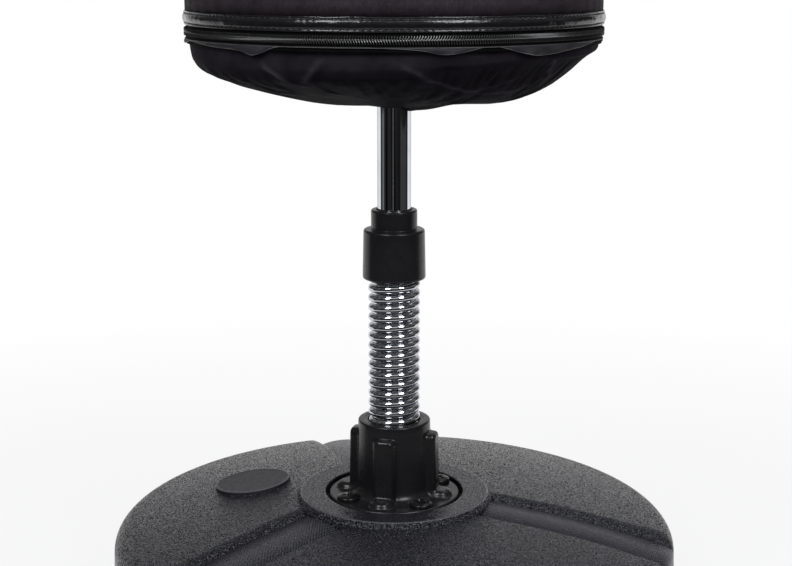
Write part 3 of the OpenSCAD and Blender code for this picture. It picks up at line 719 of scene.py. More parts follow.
class REFLEX_OT_tank(Maker, bpy.types.Operator):
    """Makes the pebbled tank with its ring, channels, fill hole and rounded shoulder"""

    bl_idname = "reflex.tank"
    bl_label = "Tank"

    def build(self, scene):
        looks = scene.reflex_base
        shoulder = Shoulder(looks)
        ring_z = top("base_tank")
        recess_z = bottom("socket")
        foot_r, outer_r = ring_foot(looks), shoulder.foot_r
        inner = rounded([
            (0, recess_z, 0), (0.03, recess_z, 0), (looks.recess_r, recess_z, 0.6 * MM),
            (looks.recess_r, ring_z, 1.4 * MM), (looks.ring_r, ring_z, 1.5 * MM),
            (foot_r, ring_z - looks.ring_rise, 0),
        ], 6)
        r_top = np.concatenate([
            foot_r + np.array([0.25, 0.5, 0.75, 1.0, 1.3, 1.7, 2.3, 3.2, 5]) * MM,
            np.linspace(foot_r + 8 * MM, shoulder.meet_r, 56),
            shoulder.wall_r - shoulder.round * (1 - np.sin(np.linspace(0.22, math.pi / 2, 14))),
        ])
        side = np.linspace([shoulder.wall_r, shoulder.z], [outer_r, FLOOR_Z], 14)[1:-1]
        under = rounded([
            (outer_r, FLOOR_Z, 0), (outer_r - 6 * MM, 0, 2 * MM), (outer_r - 60 * MM, 0, 1.5 * MM),
            (outer_r - 64 * MM, FLOOR_Z, 1.5 * MM), (0.05, FLOOR_Z, 0), (0, FLOOR_Z, 0),
        ])
        r = np.concatenate([inner[:, 0], r_top, side[:, 0], under[:, 0]])
        away, height, channel = tank_top(r, tank_columns(), looks, shoulder)
        first, last = len(inner), len(inner) + len(r_top)
        height[:first] = inner[:, 1:]
        height[last:] = np.concatenate([side, under])[:, 1:]
        channel[:first, :, 2] = 0
        channel[last:, :, 2] = 0
        angle = np.hstack([away + turn for turn in CHANNEL_TURNS])
        points = on_bag(angle, r[:, None], np.hstack([height] * 3))
        self.close(points, np.hstack([channel] * 3), looks)

    def close(self, points, channel, looks):
        """Cuts the fill hole into the grid, gives it its neck and the skin its thickness."""
        origin, axes = cap_frame(looks)
        local = (points - origin) @ axes.T
        radius = np.hypot(local[..., 0], local[..., 1])
        near = (radius < looks.cap_r + 3 * MM) & (np.abs(local[..., 2]) < 15 * MM)
        rows, cols = np.where(near)
        r0, r1, c0, c1 = rows.min() - 1, rows.max() + 1, cols.min() - 1, cols.max() + 1
        faces = grid_faces(*points.shape[:2], around=True)
        width = points.shape[1]
        row, col = faces[:, 0] // width, faces[:, 0] % width
        inside = (row >= r0) & (row < r1) & (col >= c0) & (col < c1)
        edge = [(r0, c) for c in range(c0, c1)] + [(r, c1) for r in range(r0, r1)]
        edge += [(r1, c) for c in range(c1, c0, -1)] + [(r, c0) for r in range(r1, r0, -1)]
        patch = self.neck(np.array([points[i] for i in edge]), origin, axes, looks)
        patch_faces = grid_faces(*patch.shape[:2], around=True, first=points.shape[0] * width)
        everything = np.concatenate([points.reshape(-1, 3), patch.reshape(-1, 3)])
        tank = make("tank_shell", everything, np.concatenate([faces[~inside], patch_faces]), 40)
        self.mark(tank.data, everything, np.concatenate([channel, 0 * patch], axis=None).reshape(-1, 3))
        thicken(tank, "Wall", looks.wall)
        weigh(tank)
        dress(tank, "base", "tank_plastic", tank_finish(looks), "base_tank")

    def neck(self, rim, origin, axes, looks):
        """Rows of points from the hole in the grid to the neck's lower edge: straight lines to the seat's
        circle, laid on the lobe's sphere, then the seat, the rounded lip and the neck's wall."""
        local = (rim - origin) @ axes.T
        angle = np.arctan2(local[:, 1], local[:, 0])
        seat_r = looks.cap_r + 0.5 * MM
        shares = np.linspace(0, 1, 7)[:, None, None]
        lines = (local * (1 - shares) + on_bag(angle, seat_r, 0.0) * shares) @ axes + origin
        foot_r = ring_foot(looks)
        centre = np.array([0, 0, float(dome(foot_r, looks)) - math.sqrt(looks.dome_r**2 - foot_r**2)])
        ray = lines[1:] - centre
        lines[1:] = centre + ray / np.linalg.norm(ray, axis=-1, keepdims=True) * looks.dome_r
        profile = rounded([
            (seat_r - 0.2 * MM, SEAT_DROP - 0.2 * MM, 0), (seat_r - 0.3 * MM, 0, 0),
            (looks.hole_r, 0, 0.8 * MM), (looks.hole_r, -NECK_DEPTH, 0),
        ])
        return np.concatenate([lines, on_bag(angle, profile[:, :1], profile[:, 1:]) @ axes + origin])

    def mark(self, mesh, points, channel):
        """Writes the channel coordinates of the grid point at its place, and the direction of the nearest
        channel, to every vertex."""
        place = places(mesh)
        same = 2 * MERGE
        keys = {tuple(k): i for i, k in enumerate(np.round(points / same).astype(int))}
        found = [keys.get(tuple(k), -1) for k in np.round(place / same).astype(int)]
        write_attribute(mesh, "channel", np.where(np.array(found)[:, None] >= 0, channel[found], 0))
        ways = on_bag(CHANNEL_TURNS, 1.0, 0.0)
        write_attribute(mesh, "channel_way", ways[np.argmax(place @ ways.T, axis=1)])


class REFLEX_OT_fill_cap(Maker, bpy.types.Operator):
    """Makes the push-in fill cap and its sealing ring"""

    bl_idname = "reflex.fill_cap"
    bl_label = "Fill cap"

    def build(self, scene):
        looks = scene.reflex_base
        r, plug_r, depth, disc = looks.cap_r, looks.hole_r - 0.5 * MM, 14 * MM, 3.3 * MM
        groove_r, hollow_r = plug_r - 2.3 * MM, plug_r - 5 * MM
        groove_top, groove_bottom = -5 * MM, -7.5 * MM
        outline = rounded([
            (0, disc - 0.25 * MM, 0), (r - 2.5 * MM, disc - 0.25 * MM, 0), (r - 1.6 * MM, disc, 0.5 * MM),
            (r, disc, 0.9 * MM), (r, 0, 0.3 * MM), (plug_r, 0, 0.3 * MM), (plug_r, groove_top, 0.2 * MM),
            (groove_r, groove_top, 0.2 * MM), (groove_r, groove_bottom, 0.2 * MM),
            (plug_r, groove_bottom, 0.2 * MM), (plug_r, -depth, 0.5 * MM), (hollow_r, -depth, 0.5 * MM),
            (hollow_r, 0, 0.8 * MM), (0, 0, 0),
        ])
        self.place("cap_disc", outline, False, looks, "cap_plastic", cap_finish(looks), "fill_cap")
        angle = np.arange(20) * TURN / 20
        ring = np.stack([plug_r - 1.0 * MM + 1.3 * MM * np.cos(angle),
                         (groove_top + groove_bottom) / 2 + 1.25 * MM * np.sin(angle)], -1)
        rubber = moulded("seal_rubber", (0.012, 0.012, 0.012), 0.6)
        self.place("cap_seal_ring", ring, True, looks, "seal_rubber", rubber, "fill_cap_seal")

    def place(self, name, outline, closed, looks, slot, finish, node):
        """Turns an outline round the cap's own axis and marks its rim for a painted highlight, a bell curve
        of the radius.
        """
        highlight_r, highlight_w, highlight_above = 29.2 * MM, 0.7 * MM, 2.6 * MM
        origin, axes = cap_frame(looks)
        piece = surface(name, turned(outline, 128) @ axes + origin, closed, weighted=True)
        local = (places(piece.data) - origin) @ axes.T
        # Ring along the disc's top edge that gets a painted highlight.
        rim = bell(np.hypot(local[:, 0], local[:, 1]) - highlight_r, highlight_w)
        write_attribute(piece.data, "rim", rim * (local[:, 2] > highlight_above))
        dress(piece, "cap", slot, finish, node)


# ---------------------------------------------------------------------- socket

RIB_TURN = math.radians(-105)
SCREW_TURN = RIB_TURN + TURN / 8
FLANGE = 7 * MM
BARREL_R = 27.85 * MM
BORE_R = 20.35 * MM  # of the socket and the collar, round the spring


def joined(a, b, rounding):
    """Solid common to two solids given by their distances, its edge rounded."""
    a, b = a + rounding, b + rounding
    return np.hypot(np.maximum(a, 0), np.maximum(b, 0)) + np.minimum(np.maximum(a, b), 0) - rounding


class REFLEX_OT_socket(Maker, bpy.types.Operator):
    """Makes the ribbed socket that holds the spring"""

    bl_idname = "reflex.socket"
    bl_label = "Socket"

    def build(self, scene):
        looks = scene.reflex_mast
        points = self.grid(looks, bottom("socket"), top("socket"))
        socket = surface("spring_socket", points, True, smooth=50)
        finish = moulded("socket_plastic", tuple(looks.plastic), 0.27, IOR=1.5, Specular_IOR_Level=0.3)
        dress(socket, "base", "moulded_black", finish, "socket")

    def body(self, r, angle, z, looks, low, high):
        """Distance of a point from the socket's outside: a cone for the barrel, a plane for the flange, and
        for the nearest rib a tongue whose sides draw in outwards, with a flat round-ended toe for its foot.
        Round seats for the screws are taken out of it."""
        flange = low + FLANGE
        widening, rib_widening = 1.5 * MM, 1.0 * MM  # from the top down to the flange
        rib_draw, drawn_from, rib_top, foot_high = 0.30, 28 * MM, high - 9 * MM, 4.7 * MM
        toe_w, seat_r = looks.rib_w / 2 - 0.2 * MM, 9.3 * MM
        near = (angle - RIB_TURN + TURN / 8) % (TURN / 4) - TURN / 8
        x, y = r * np.cos(near), r * np.sin(near)
        fall = (high - z) / (high - flange)
        barrel = r - BARREL_R - fall * widening
        solid = soft_min(barrel, z - flange, 9 * MM)
        drawn = np.abs(y) + rib_draw * (x - drawn_from)
        tongue = joined(drawn - looks.rib_w / 2, z - rib_top, 4.6 * MM)
        rib = joined(tongue, x - fall * rib_widening - looks.rib_r, 2.6 * MM)
        toe = np.hypot(np.maximum(x - looks.foot_r + toe_w, 0), y) - toe_w
        foot = joined(toe, z - flange - foot_high, 4.2 * MM)
        solid = soft_min(soft_min(solid, rib, 1.2 * MM), foot, 2.2 * MM)
        sx = x - looks.screw_at * math.cos(TURN / 8)
        seat = np.hypot(sx, np.abs(y) - looks.screw_at * math.sin(TURN / 8)) - seat_r
        return -soft_min(-solid, np.maximum(seat, flange - z), 0.5 * MM)

    def grid(self, looks, low, high):
        """Rows of points found by walking from outside towards the solid, first in steps and then by halving
        the last one. The rays run level towards the axis over the barrel and fan out from a circle beside it
        over the feet and the flange."""
        pivot_r, pivot_z = 60 * MM, 190 * MM
        heights = np.linspace(219.5, 216, 3), np.linspace(215.6, 205, 26), np.linspace(203, 190, 7)
        level = np.concatenate(heights) * MM
        fan = np.radians(np.concatenate([np.linspace(2, 26, 11), np.linspace(27, 68.6, 62)]))
        start_z = np.concatenate([level, np.full(len(fan), pivot_z)])[:, None]
        dip = np.concatenate([0 * level, fan])[:, None]
        half = np.radians(np.concatenate([np.linspace(0, 9, 9)[:-1], np.linspace(9, 21, 29)[:-1],
                                          np.linspace(21, 45, 19)]))
        sector = np.concatenate([-half[::-1], half[1:]])[:-1]
        angle = np.concatenate([sector + RIB_TURN + k * TURN / 4 for k in range(4)])
        turn = angle[None, :] + 0 * dip

        def at(walked):
            """Radius and height of every ray's point so far from its start."""
            return pivot_r - walked * np.cos(dip), start_z - walked * np.sin(dip)

        def hits(walked):
            """Whether that point lies in the solid."""
            r, z = at(walked)
            return self.body(r, turn, z, looks, low, high) < 0

        farthest, stride, halvings = 40, 0.4, 14
        inside = np.full(turn.shape, farthest * MM)
        found = np.zeros(turn.shape, bool)
        for walked in np.arange(0, farthest, stride) * MM:
            hit = hits(walked + 0 * turn) & ~found
            inside[hit] = walked
            found |= hit
        outside = inside - stride * MM
        for _ in range(halvings):
            middle = (inside + outside) / 2
            hit = hits(middle)
            inside, outside = np.where(hit, middle, inside), np.where(hit, outside, middle)
        rim, base = (on_bag(angle, line[:, :1], line[:, 1:]) for line in self.ends(low, high))
        return np.concatenate([rim, on_bag(turn, *at(inside)), base])

    def ends(self, low, high):
        """Outlines from the middle of the bore over the barrel's rim, and from the flange's edge to the
        middle of the pocket for the bolt."""
        bore_z, flange_r, bolt_r, bolt_z = low + 24 * MM, 50.5 * MM, 18 * MM, low + 14 * MM
        rim = rounded([
            (0, bore_z, 0), (BORE_R, bore_z, 0), (BORE_R, high, 0.6 * MM),
            (22.0 * MM, high - 0.3 * MM, 0.4 * MM), (22.6 * MM, high, 0.4 * MM), (BARREL_R, high, 1.5 * MM),
            (27.9 * MM, high - 3 * MM, 0),
        ])
        base = rounded([
            (flange_r, low + FLANGE, 1.3 * MM), (flange_r, low, 0.5 * MM), (bolt_r, low, 0.5 * MM),
            (bolt_r, bolt_z, 0), (0, bolt_z, 0),
        ])
        return rim, base


class REFLEX_OT_screws(Maker, bpy.types.Operator):
    """Makes the four pan-head screws with their cross recesses"""

    bl_idname = "reflex.screws"
    bl_label = "Flange screws"

    def build(self, scene):
        looks = scene.reflex_mast
        seat = bottom("socket") + FLANGE
        finish = moulded("blacked_steel", (0.012, 0.012, 0.013), 0.28, Metallic=0.6)
        screws = [self.screw(looks, seat, SCREW_TURN + k * TURN / 4, 0.35 + 0.5 * k) for k in range(4)]
        made = make_many("flange_screws", np.stack(screws), 40)
        dress(made, "base", "black_steel", finish, "socket_screws")

    def screw(self, looks, seat, turn, twist):
        """Pan head, shank and point; the head's height loses a cross of two tapered slots."""
        r, shank_r, rim_high, crown_high = looks.screw_r, 4 * MM, 1.9 * MM, 2.3 * MM
        radii = np.concatenate([np.linspace(0, 0.62, 18), np.linspace(0.66, 0.97, 9)]) * r
        crown = seat + rim_high + crown_high * np.sqrt(np.clip(1 - (radii / r) ** 2.4, 0, 1))
        rest = rounded([(r, seat + 1.6 * MM, 0.3 * MM), (r, seat, 0.2 * MM), (shank_r, seat, 0),
                        (shank_r, seat - 24 * MM, 0.5 * MM), (0, seat - 25 * MM, 0)])
        points = turned(np.concatenate([np.stack([radii, crown], -1), rest]), 72)
        x, y = points[..., 0], points[..., 1]
        arm, deep, slot_top, slot_floor = 5.0 * MM, 2.0 * MM, 1.25 * MM, 0.85 * MM
        cross = np.maximum(*(
            step(slot_top, slot_floor, np.abs(a)) * step(arm, arm - 1.2 * MM, np.abs(b))
            for a, b in ((x, y), (y, x))
        ))
        cross[len(radii):] = 0
        z = points[..., 2] - cross * deep
        c, s = math.cos(twist), math.sin(twist)
        return np.stack([x * c - y * s + looks.screw_at * math.cos(turn),
                         x * s + y * c + looks.screw_at * math.sin(turn), z], axis=-1)


# --------------------------------------------------------- spring, collar, pole

LOWER_HINGE = 0.25075  # heights at which the spring's two joints bend
UPPER_HINGE = 0.30625


class REFLEX_OT_spring(Maker, bpy.types.Operator):
    """Makes the chromed coil spring as two halves that meet between the two hinges"""

    bl_idname = "reflex.spring"
    bl_label = "Spring"

    def build(self, scene):
        looks = scene.reflex_mast
        low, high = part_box("spring")
        half, points_a_turn, sides = looks.wire / 2, 48, 20
        coil_r = high.x - half
        first, last = low.z + half, high.z - half
        middle = (LOWER_HINGE + UPPER_HINGE) / 2
        finish = chrome_finish("chromed_wire", tint(looks.chrome, 0.78), 0.05)
        for name, z0, z1, bodies, start, end in (
            ("spring_lower_half", first, middle, ("base", "coil"), top("socket"), middle),
            ("spring_upper_half", middle, last, ("coil", "mast"), middle, bottom("collar")),
        ):
            z = np.linspace(z0, z1, int((z1 - z0) / looks.pitch * points_a_turn))
            angle = (z - first) / looks.pitch * TURN
            piece = tube(name, on_bag(angle, coil_r, z), half, sides)
            piece.data.materials.append(finish)
            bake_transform(piece)
            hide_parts("spring")


class REFLEX_OT_mast(Maker, bpy.types.Operator):
    """Makes the stepped collar and the chromed pole"""

    bl_idname = "reflex.mast"
    bl_label = "Collar and pole"

    def build(self, scene):
        looks = scene.reflex_mast
        low, high = bottom("collar"), top("collar")
        r0, r1, r2, bore = 24 * MM, 23.2 * MM, 17.5 * MM, 13.4 * MM
        shelf = low + 38 * MM
        floor = shelf - 3.3 * MM
        collar = lathe("spring_collar", [
            (BORE_R, low + 0.6 * MM, 0.5 * MM), (22.0 * MM, low, 0.5 * MM), (r0, low, 2.0 * MM),
            (r1, shelf, 2.0 * MM), (r2 + 0.5 * MM, shelf, 0.5 * MM), (r2, shelf + 0.5 * MM, 0.3 * MM),
            (r2, high, 1.6 * MM), (bore + 0.8 * MM, high, 0.8 * MM), (bore, high - 1 * MM, 0.4 * MM),
            (bore, floor, 0.3 * MM), (BORE_R, floor, 0.5 * MM),
        ], 192)
        rubber = moulded("collar_rubber", tuple(looks.rubber), 0.3, IOR=1.5, Specular_IOR_Level=0.34)
        dress(collar, "mast", "collar_rubber", rubber, "collar")
        r, wall = reach("pole"), 1.5 * MM
        z0, z1 = bottom("pole"), top("pole")
        pole = lathe("chromed_pole", [
            (r - wall, z0, 0.3 * MM), (r, z0, 0.3 * MM), (r, z1, 0.4 * MM), (r - wall, z1, 0.3 * MM),
        ], 256)
        plating = chrome_finish("chromed_tube", tuple(looks.chrome), 0.035, Specular_Tint=(0.6, 0.64, 0.68))
        dress(pole, "mast", "chrome_tube", plating, "pole")


# ------------------------------------------------------------------------- bag

FRONT, BACK = -math.pi / 2, math.pi / 2
SEWN_ROWS = (0.83, 0.17)  # shares of the band's height at which its stitches run
HEM_LINE = (
    # angle from the front in degrees, height of the hem strip that shows in mm
    (-180, 3.0), (-171, 5.4), (-165, 6.0), (-158, 2.2), (-150, 1.0), (-131, 1.2), (-124, 5.8), (-119, 6.6),
    (-113, 1.6), (-104, 1.0), (-94, 2.6), (-86, 5.2), (-79, 4.0), (-70, 1.4), (-60, 2.6), (-52, 3.7),
    (-45, 3.9), (-41, 5.2), (-38, 7.6), (-36, 6.8), (-31, 1.4), (-24, 0.9), (-6, 0.9), (3, 1.8), (8, 3.0),
    (11, 5.3), (14, 5.2), (19, 3.2), (22, 1.1), (27, 1.0), (32, 4.4), (37, 7.4), (41, 7.7), (47, 5.9),
    (54, 4.6), (61, 2.8), (68, 1.0), (83, 1.2), (90, 4.8), (96, 5.4), (101, 1.8), (112, 1.0), (121, 4.4),
    (127, 6.8), (131, 5.0), (138, 1.0), (151, 1.2), (160, 4.6), (167, 5.2), (174, 2.4), (180, 3.0),
)
LEFT_LINE = (
    # radius and height in mm of the sagging bottom on the left
    (12, 465.6), (22, 466), (36, 467.5), (60, 470), (87, 475.5), (113, 482), (120, 484.4), (126, 486.7),
    (133, 489.1), (139, 491), (146, 496), (151.5, 509),
)
RIGHT_LINE = (
    # and on the right
    (12, 459.5), (20, 461.3), (26, 462.6), (34, 464.9), (40, 466.8), (55, 470.1), (63, 471.2), (70, 471.5),
    (80, 470.6), (87, 470.3), (106, 476.2), (122, 485.5), (132, 494.2), (138, 500.9), (151.5, 509),
)
CREASES = (
    # height and width in mm, then the line: degrees from the front and share of the way to the pole
    (1.3, 7, ((-37, 0.03), (-32, 0.14), (-29, 0.24), (-22, 0.37))),
    (0.6, 9, ((-17, 0.01), (-19.5, 0.05), (-24, 0.20), (-26, 0.31))),
    (0.7, 12, ((-24, 0.44), (-8, 0.72))),
    (0.9, 8, ((-2, 0.02), (2, 0.06), (6.5, 0.15), (9.5, 0.26), (17, 0.375), (23, 0.42), (29, 0.42),
              (34, 0.367), (43, 0.30))),
    (0.9, 6, ((46.5, 0.10), (51, 0.29), (56, 0.37))),
    (0.6, 9, ((26, 0.47), (33, 0.455), (43.5, 0.448), (49, 0.40), (55, 0.32))),
    (0.6, 9, ((-50, 0.20), (-44, 0.36), (-36, 0.48))),
    (-1.4, 15, ((10, 0.10), (20.5, 0.20), (29, 0.27))),
    (1.0, 10, ((70, 0.10), (60, 0.45))), (1.2, 10, ((100, 0.10), (88, 0.50))),
    (1.2, 9, ((132, 0.10), (140, 0.45))), (1.1, 10, ((170, 0.10), (158, 0.50))),
    (1.2, 9, ((-95, 0.10), (-84, 0.42))), (1.2, 10, ((-128, 0.10), (-120, 0.50))),
    (1.1, 9, ((-165, 0.10), (-150, 0.40))), (0.8, 9, ((-66, 0.08), (-58, 0.30), (-60, 0.48))),
)


def flat_map(piece, columns, rows):
    """UV map in metres: the way across and the way up for every vertex of a grid."""
    layer = piece.data.uv_layers.new(name="cloth")
    loops = np.zeros(len(piece.data.loops), int)
    piece.data.loops.foreach_get("vertex_index", loops)
    flat = np.stack([columns.ravel()[loops], rows.ravel()[loops]], -1)
    layer.data.foreach_set("uv", flat.ravel())


def cloth_ring(name, angle, r, z, slot, finish, thickness, node, crest_sheen_marks=0.0, offset=-1.0, level=False):
    """Cloth round the bag: r and z are rows of radii and heights, with one column for every angle. Its UV map
    runs in metres, round and up the bag or along X and Y where it lies level. The marks along the crests of
    its folds become an attribute for a painted sheen highlight, and offset says on which side of the grid its
    thickness lies."""
    angle, r, z, crest_sheen = np.broadcast_arrays(angle, r, z, crest_sheen_marks)
    points = on_bag(angle, r, z)
    piece = linked(name, points, grid_faces(*r.shape))
    up = np.append(0, np.cumsum(np.hypot(np.diff(r[:, 0]), np.diff(z[:, 0]))))
    if level:
        flat_map(piece, points[..., 0], points[..., 1])
    else:
        flat_map(piece, angle * np.max(r), np.broadcast_to(up[:, None], r.shape))
    # Attribute that paints a sheen highlight on the crests of folds.
    write_attribute(piece.data, "crest_sheen", crest_sheen)
    merge(piece.data)
    thicken(piece, "Thickness", thickness, offset)
    return dress(piece, "bag", slot, finish, node)


def sew(name, centres, along, out, size):
    """Row of stitches on the bag in black thread."""
    thread = bpy.data.materials.get("sewing_thread") or moulded("sewing_thread", (0.03, 0.03, 0.032), 0.5)
    dress(stitches(name, centres, along, out, size), "bag", "cover_leather", thread)


class REFLEX_OT_cover(Maker, bpy.types.Operator):
    """Makes the bag's cloth wall, its top panel, piping and back seam strip"""

    bl_idname = "reflex.cover"
    bl_label = "Cover"

    def build(self, scene):
        looks = scene.reflex_bag
        fabric = wall_finish(looks)
        self.wall(looks, fabric)
        self.top_panel(looks, fabric)
        self.piping(looks)
        self.back_strip(looks)

    def wall(self, looks, fabric):
        """Cylinder with soft random ripples, drawn in and puckered beside the seams at its two ends."""
        low, high = bottom("cover_wall"), top("cover_wall")
        angle = np.linspace(0, TURN, 361)
        z = np.linspace(high, low, 136)[:, None]
        ends = np.minimum(z - low, high - z)
        pull = 0.24 * MM * np.exp(-ends / (9 * MM))
        puckers = 60
        pucker = 0.25 * MM * np.sin(puckers * angle) * np.exp(-ends / (14 * MM))
        ripple = looks.ripple * (0.55 * waves(angle, z, 7) + 0.45 * waves(angle, z * 2, 8, 12, 20))
        ripple *= step(0, 60 * MM, ends)
        radius = reach("cover_wall") - looks.cover / 2 - pull + pucker + ripple
        wall = cloth_ring("cover_wall_cloth", angle, radius, z, "cover_fabric", fabric, looks.cover,
                          "cover_wall")

    def top_panel(self, looks, fabric):
        """Crowned disc: its height is the crown times one minus the square of the radius, with puckers beside
        its seam and soft waves that fade towards its middle."""
        r_out = reach("top_panel")
        low, high = bottom("top_panel") + looks.cover, top("top_panel")
        share_r = np.linspace(0, 1, 60)[:, None]
        angle = np.linspace(0, TURN, 241)
        near_seam = np.exp(-(1 - share_r) * r_out / (12 * MM)) * (share_r < 0.995)
        puckers = 34
        pucker = 0.8 * MM * np.sin(puckers * angle) * near_seam
        swell = 0.8 * MM * waves(angle, share_r * 0.25, 11) * (1 - share_r**6) * share_r**2
        z = low + (high - low) * (1 - share_r**2) + pucker + swell
        panel = cloth_ring("top_panel_cloth", angle, share_r * (r_out - 0.3 * MM), z, "cover_leather", fabric,
                           looks.cover, "top_panel", offset=1.0, level=True)

    def piping(self, looks):
        """Cord in a folded strip round the top seam, whose turns show as small waves of its height."""
        low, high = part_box("top_piping")
        cord_r = (high.z - low.z) / 2
        angle = np.arange(20) * TURN / 20
        outline = np.stack([high.x - cord_r + cord_r * np.cos(angle),
                            (high.z + low.z) / 2 + cord_r * np.sin(angle)], -1)
        steps, twists = 480, 97
        points = turned(outline, steps)
        points[..., 2] += 0.18 * MM * np.sin(np.arange(steps) * TURN / steps * twists)
        piece = surface("top_piping_cord", points, True, smooth=60)
        dress(piece, "bag", "cover_leather", leather_finish(looks), "top_piping")

    def back_strip(self, looks):
        """Flat strip over the back seam, which dips under a row of stitches down each side."""
        low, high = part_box("back_seam_strip")
        r0 = reach("cover_wall")
        half = high.x / r0
        row_at = 0.72
        share_w = np.linspace(-1, 1, 17)
        z = np.linspace(high.z, low.z, 120)[:, None]
        swell = 1.0 * MM * np.sqrt(np.clip(1 - share_w**6, 0, 1)) + 0.1 * MM
        dip = 0.35 * MM * bell(np.abs(share_w) - row_at, 0.12)
        webbing = cloth_finish("seam_webbing", tint(looks.fabric, 0.55), 0.9 * MM, 0.7, 0.12)
        cloth_ring("back_seam_cover", BACK + half * share_w, r0 + swell - dip, z, "cover_leather", webbing,
                   0.9 * MM, "back_seam_strip")
        height = np.arange(low.z + 5 * MM, high.z - 3 * MM, looks.stitch)
        up = np.tile([0.0, 0.0, 1.0], (len(height), 1))
        size = (looks.stitch * 0.4, 0.4 * MM, 0.3 * MM)
        for side, name in ((-1, "back_stitches_left"), (1, "back_stitches_right")):
            turn = np.full(len(height), BACK + side * half * row_at)
            sew(name, on_bag(turn, r0 + 0.75 * MM, height), up, on_bag(turn, 1.0, 0.0), size)


class REFLEX_OT_band(Maker, bpy.types.Operator):
    """Makes the shiny band above the zip with its two rows of stitches"""

    bl_idname = "reflex.band"
    bl_label = "Band"

    def build(self, scene):
        """The band swells between its rows of stitches, which hold it down at every stitch."""
        looks = scene.reflex_bag
        low, high = bottom("band"), top("band")
        r = reach("band")
        count = round(TURN * r / looks.stitch)
        angle = np.linspace(0, TURN, 1441)
        share_h = np.linspace(1, 0, 34)[:, None]
        upper, lower = SEWN_ROWS
        swell = np.sqrt(np.clip(1 - (2 * share_h - 1) ** 8, 0, 1)) * 0.5 * MM
        seam = sum(bell(share_h - at, 0.055) for at in SEWN_ROWS)
        between = np.clip((share_h - lower) / (upper - lower), 0, 1)
        bulge = 0.75 * MM * np.sin(math.pi * between) ** 0.8
        held = 0.5 + 0.5 * np.cos(count * angle)
        gather = 0.16 * MM * waves(angle * 9, share_h * 0.02, 21, 10, 7) * np.sin(math.pi * share_h)
        radius = r - 0.55 * MM + swell + bulge - seam * (0.35 + 0.35 * held) * MM + gather
        z = low + share_h * (high - low) + 0.12 * MM * waves(angle * 5, share_h * 0, 22) * (share_h > 0.9)
        cloth_ring("zip_band", angle, radius, z, "cover_leather", leather_finish(looks), 1.0 * MM, "band")
        turn = (np.arange(count) + 0.5) * TURN / count
        out, along = on_bag(turn, 1.0, 0.0), on_bag(turn + math.pi / 2, 1.0, 0.0)
        size = (looks.stitch * 0.38, 0.33 * MM, 0.3 * MM)
        for at, name in zip(SEWN_ROWS, ("band_stitches_upper", "band_stitches_lower")):
            sew(name, on_bag(turn, r - 0.25 * MM, low + at * (high - low)), along, out, size)


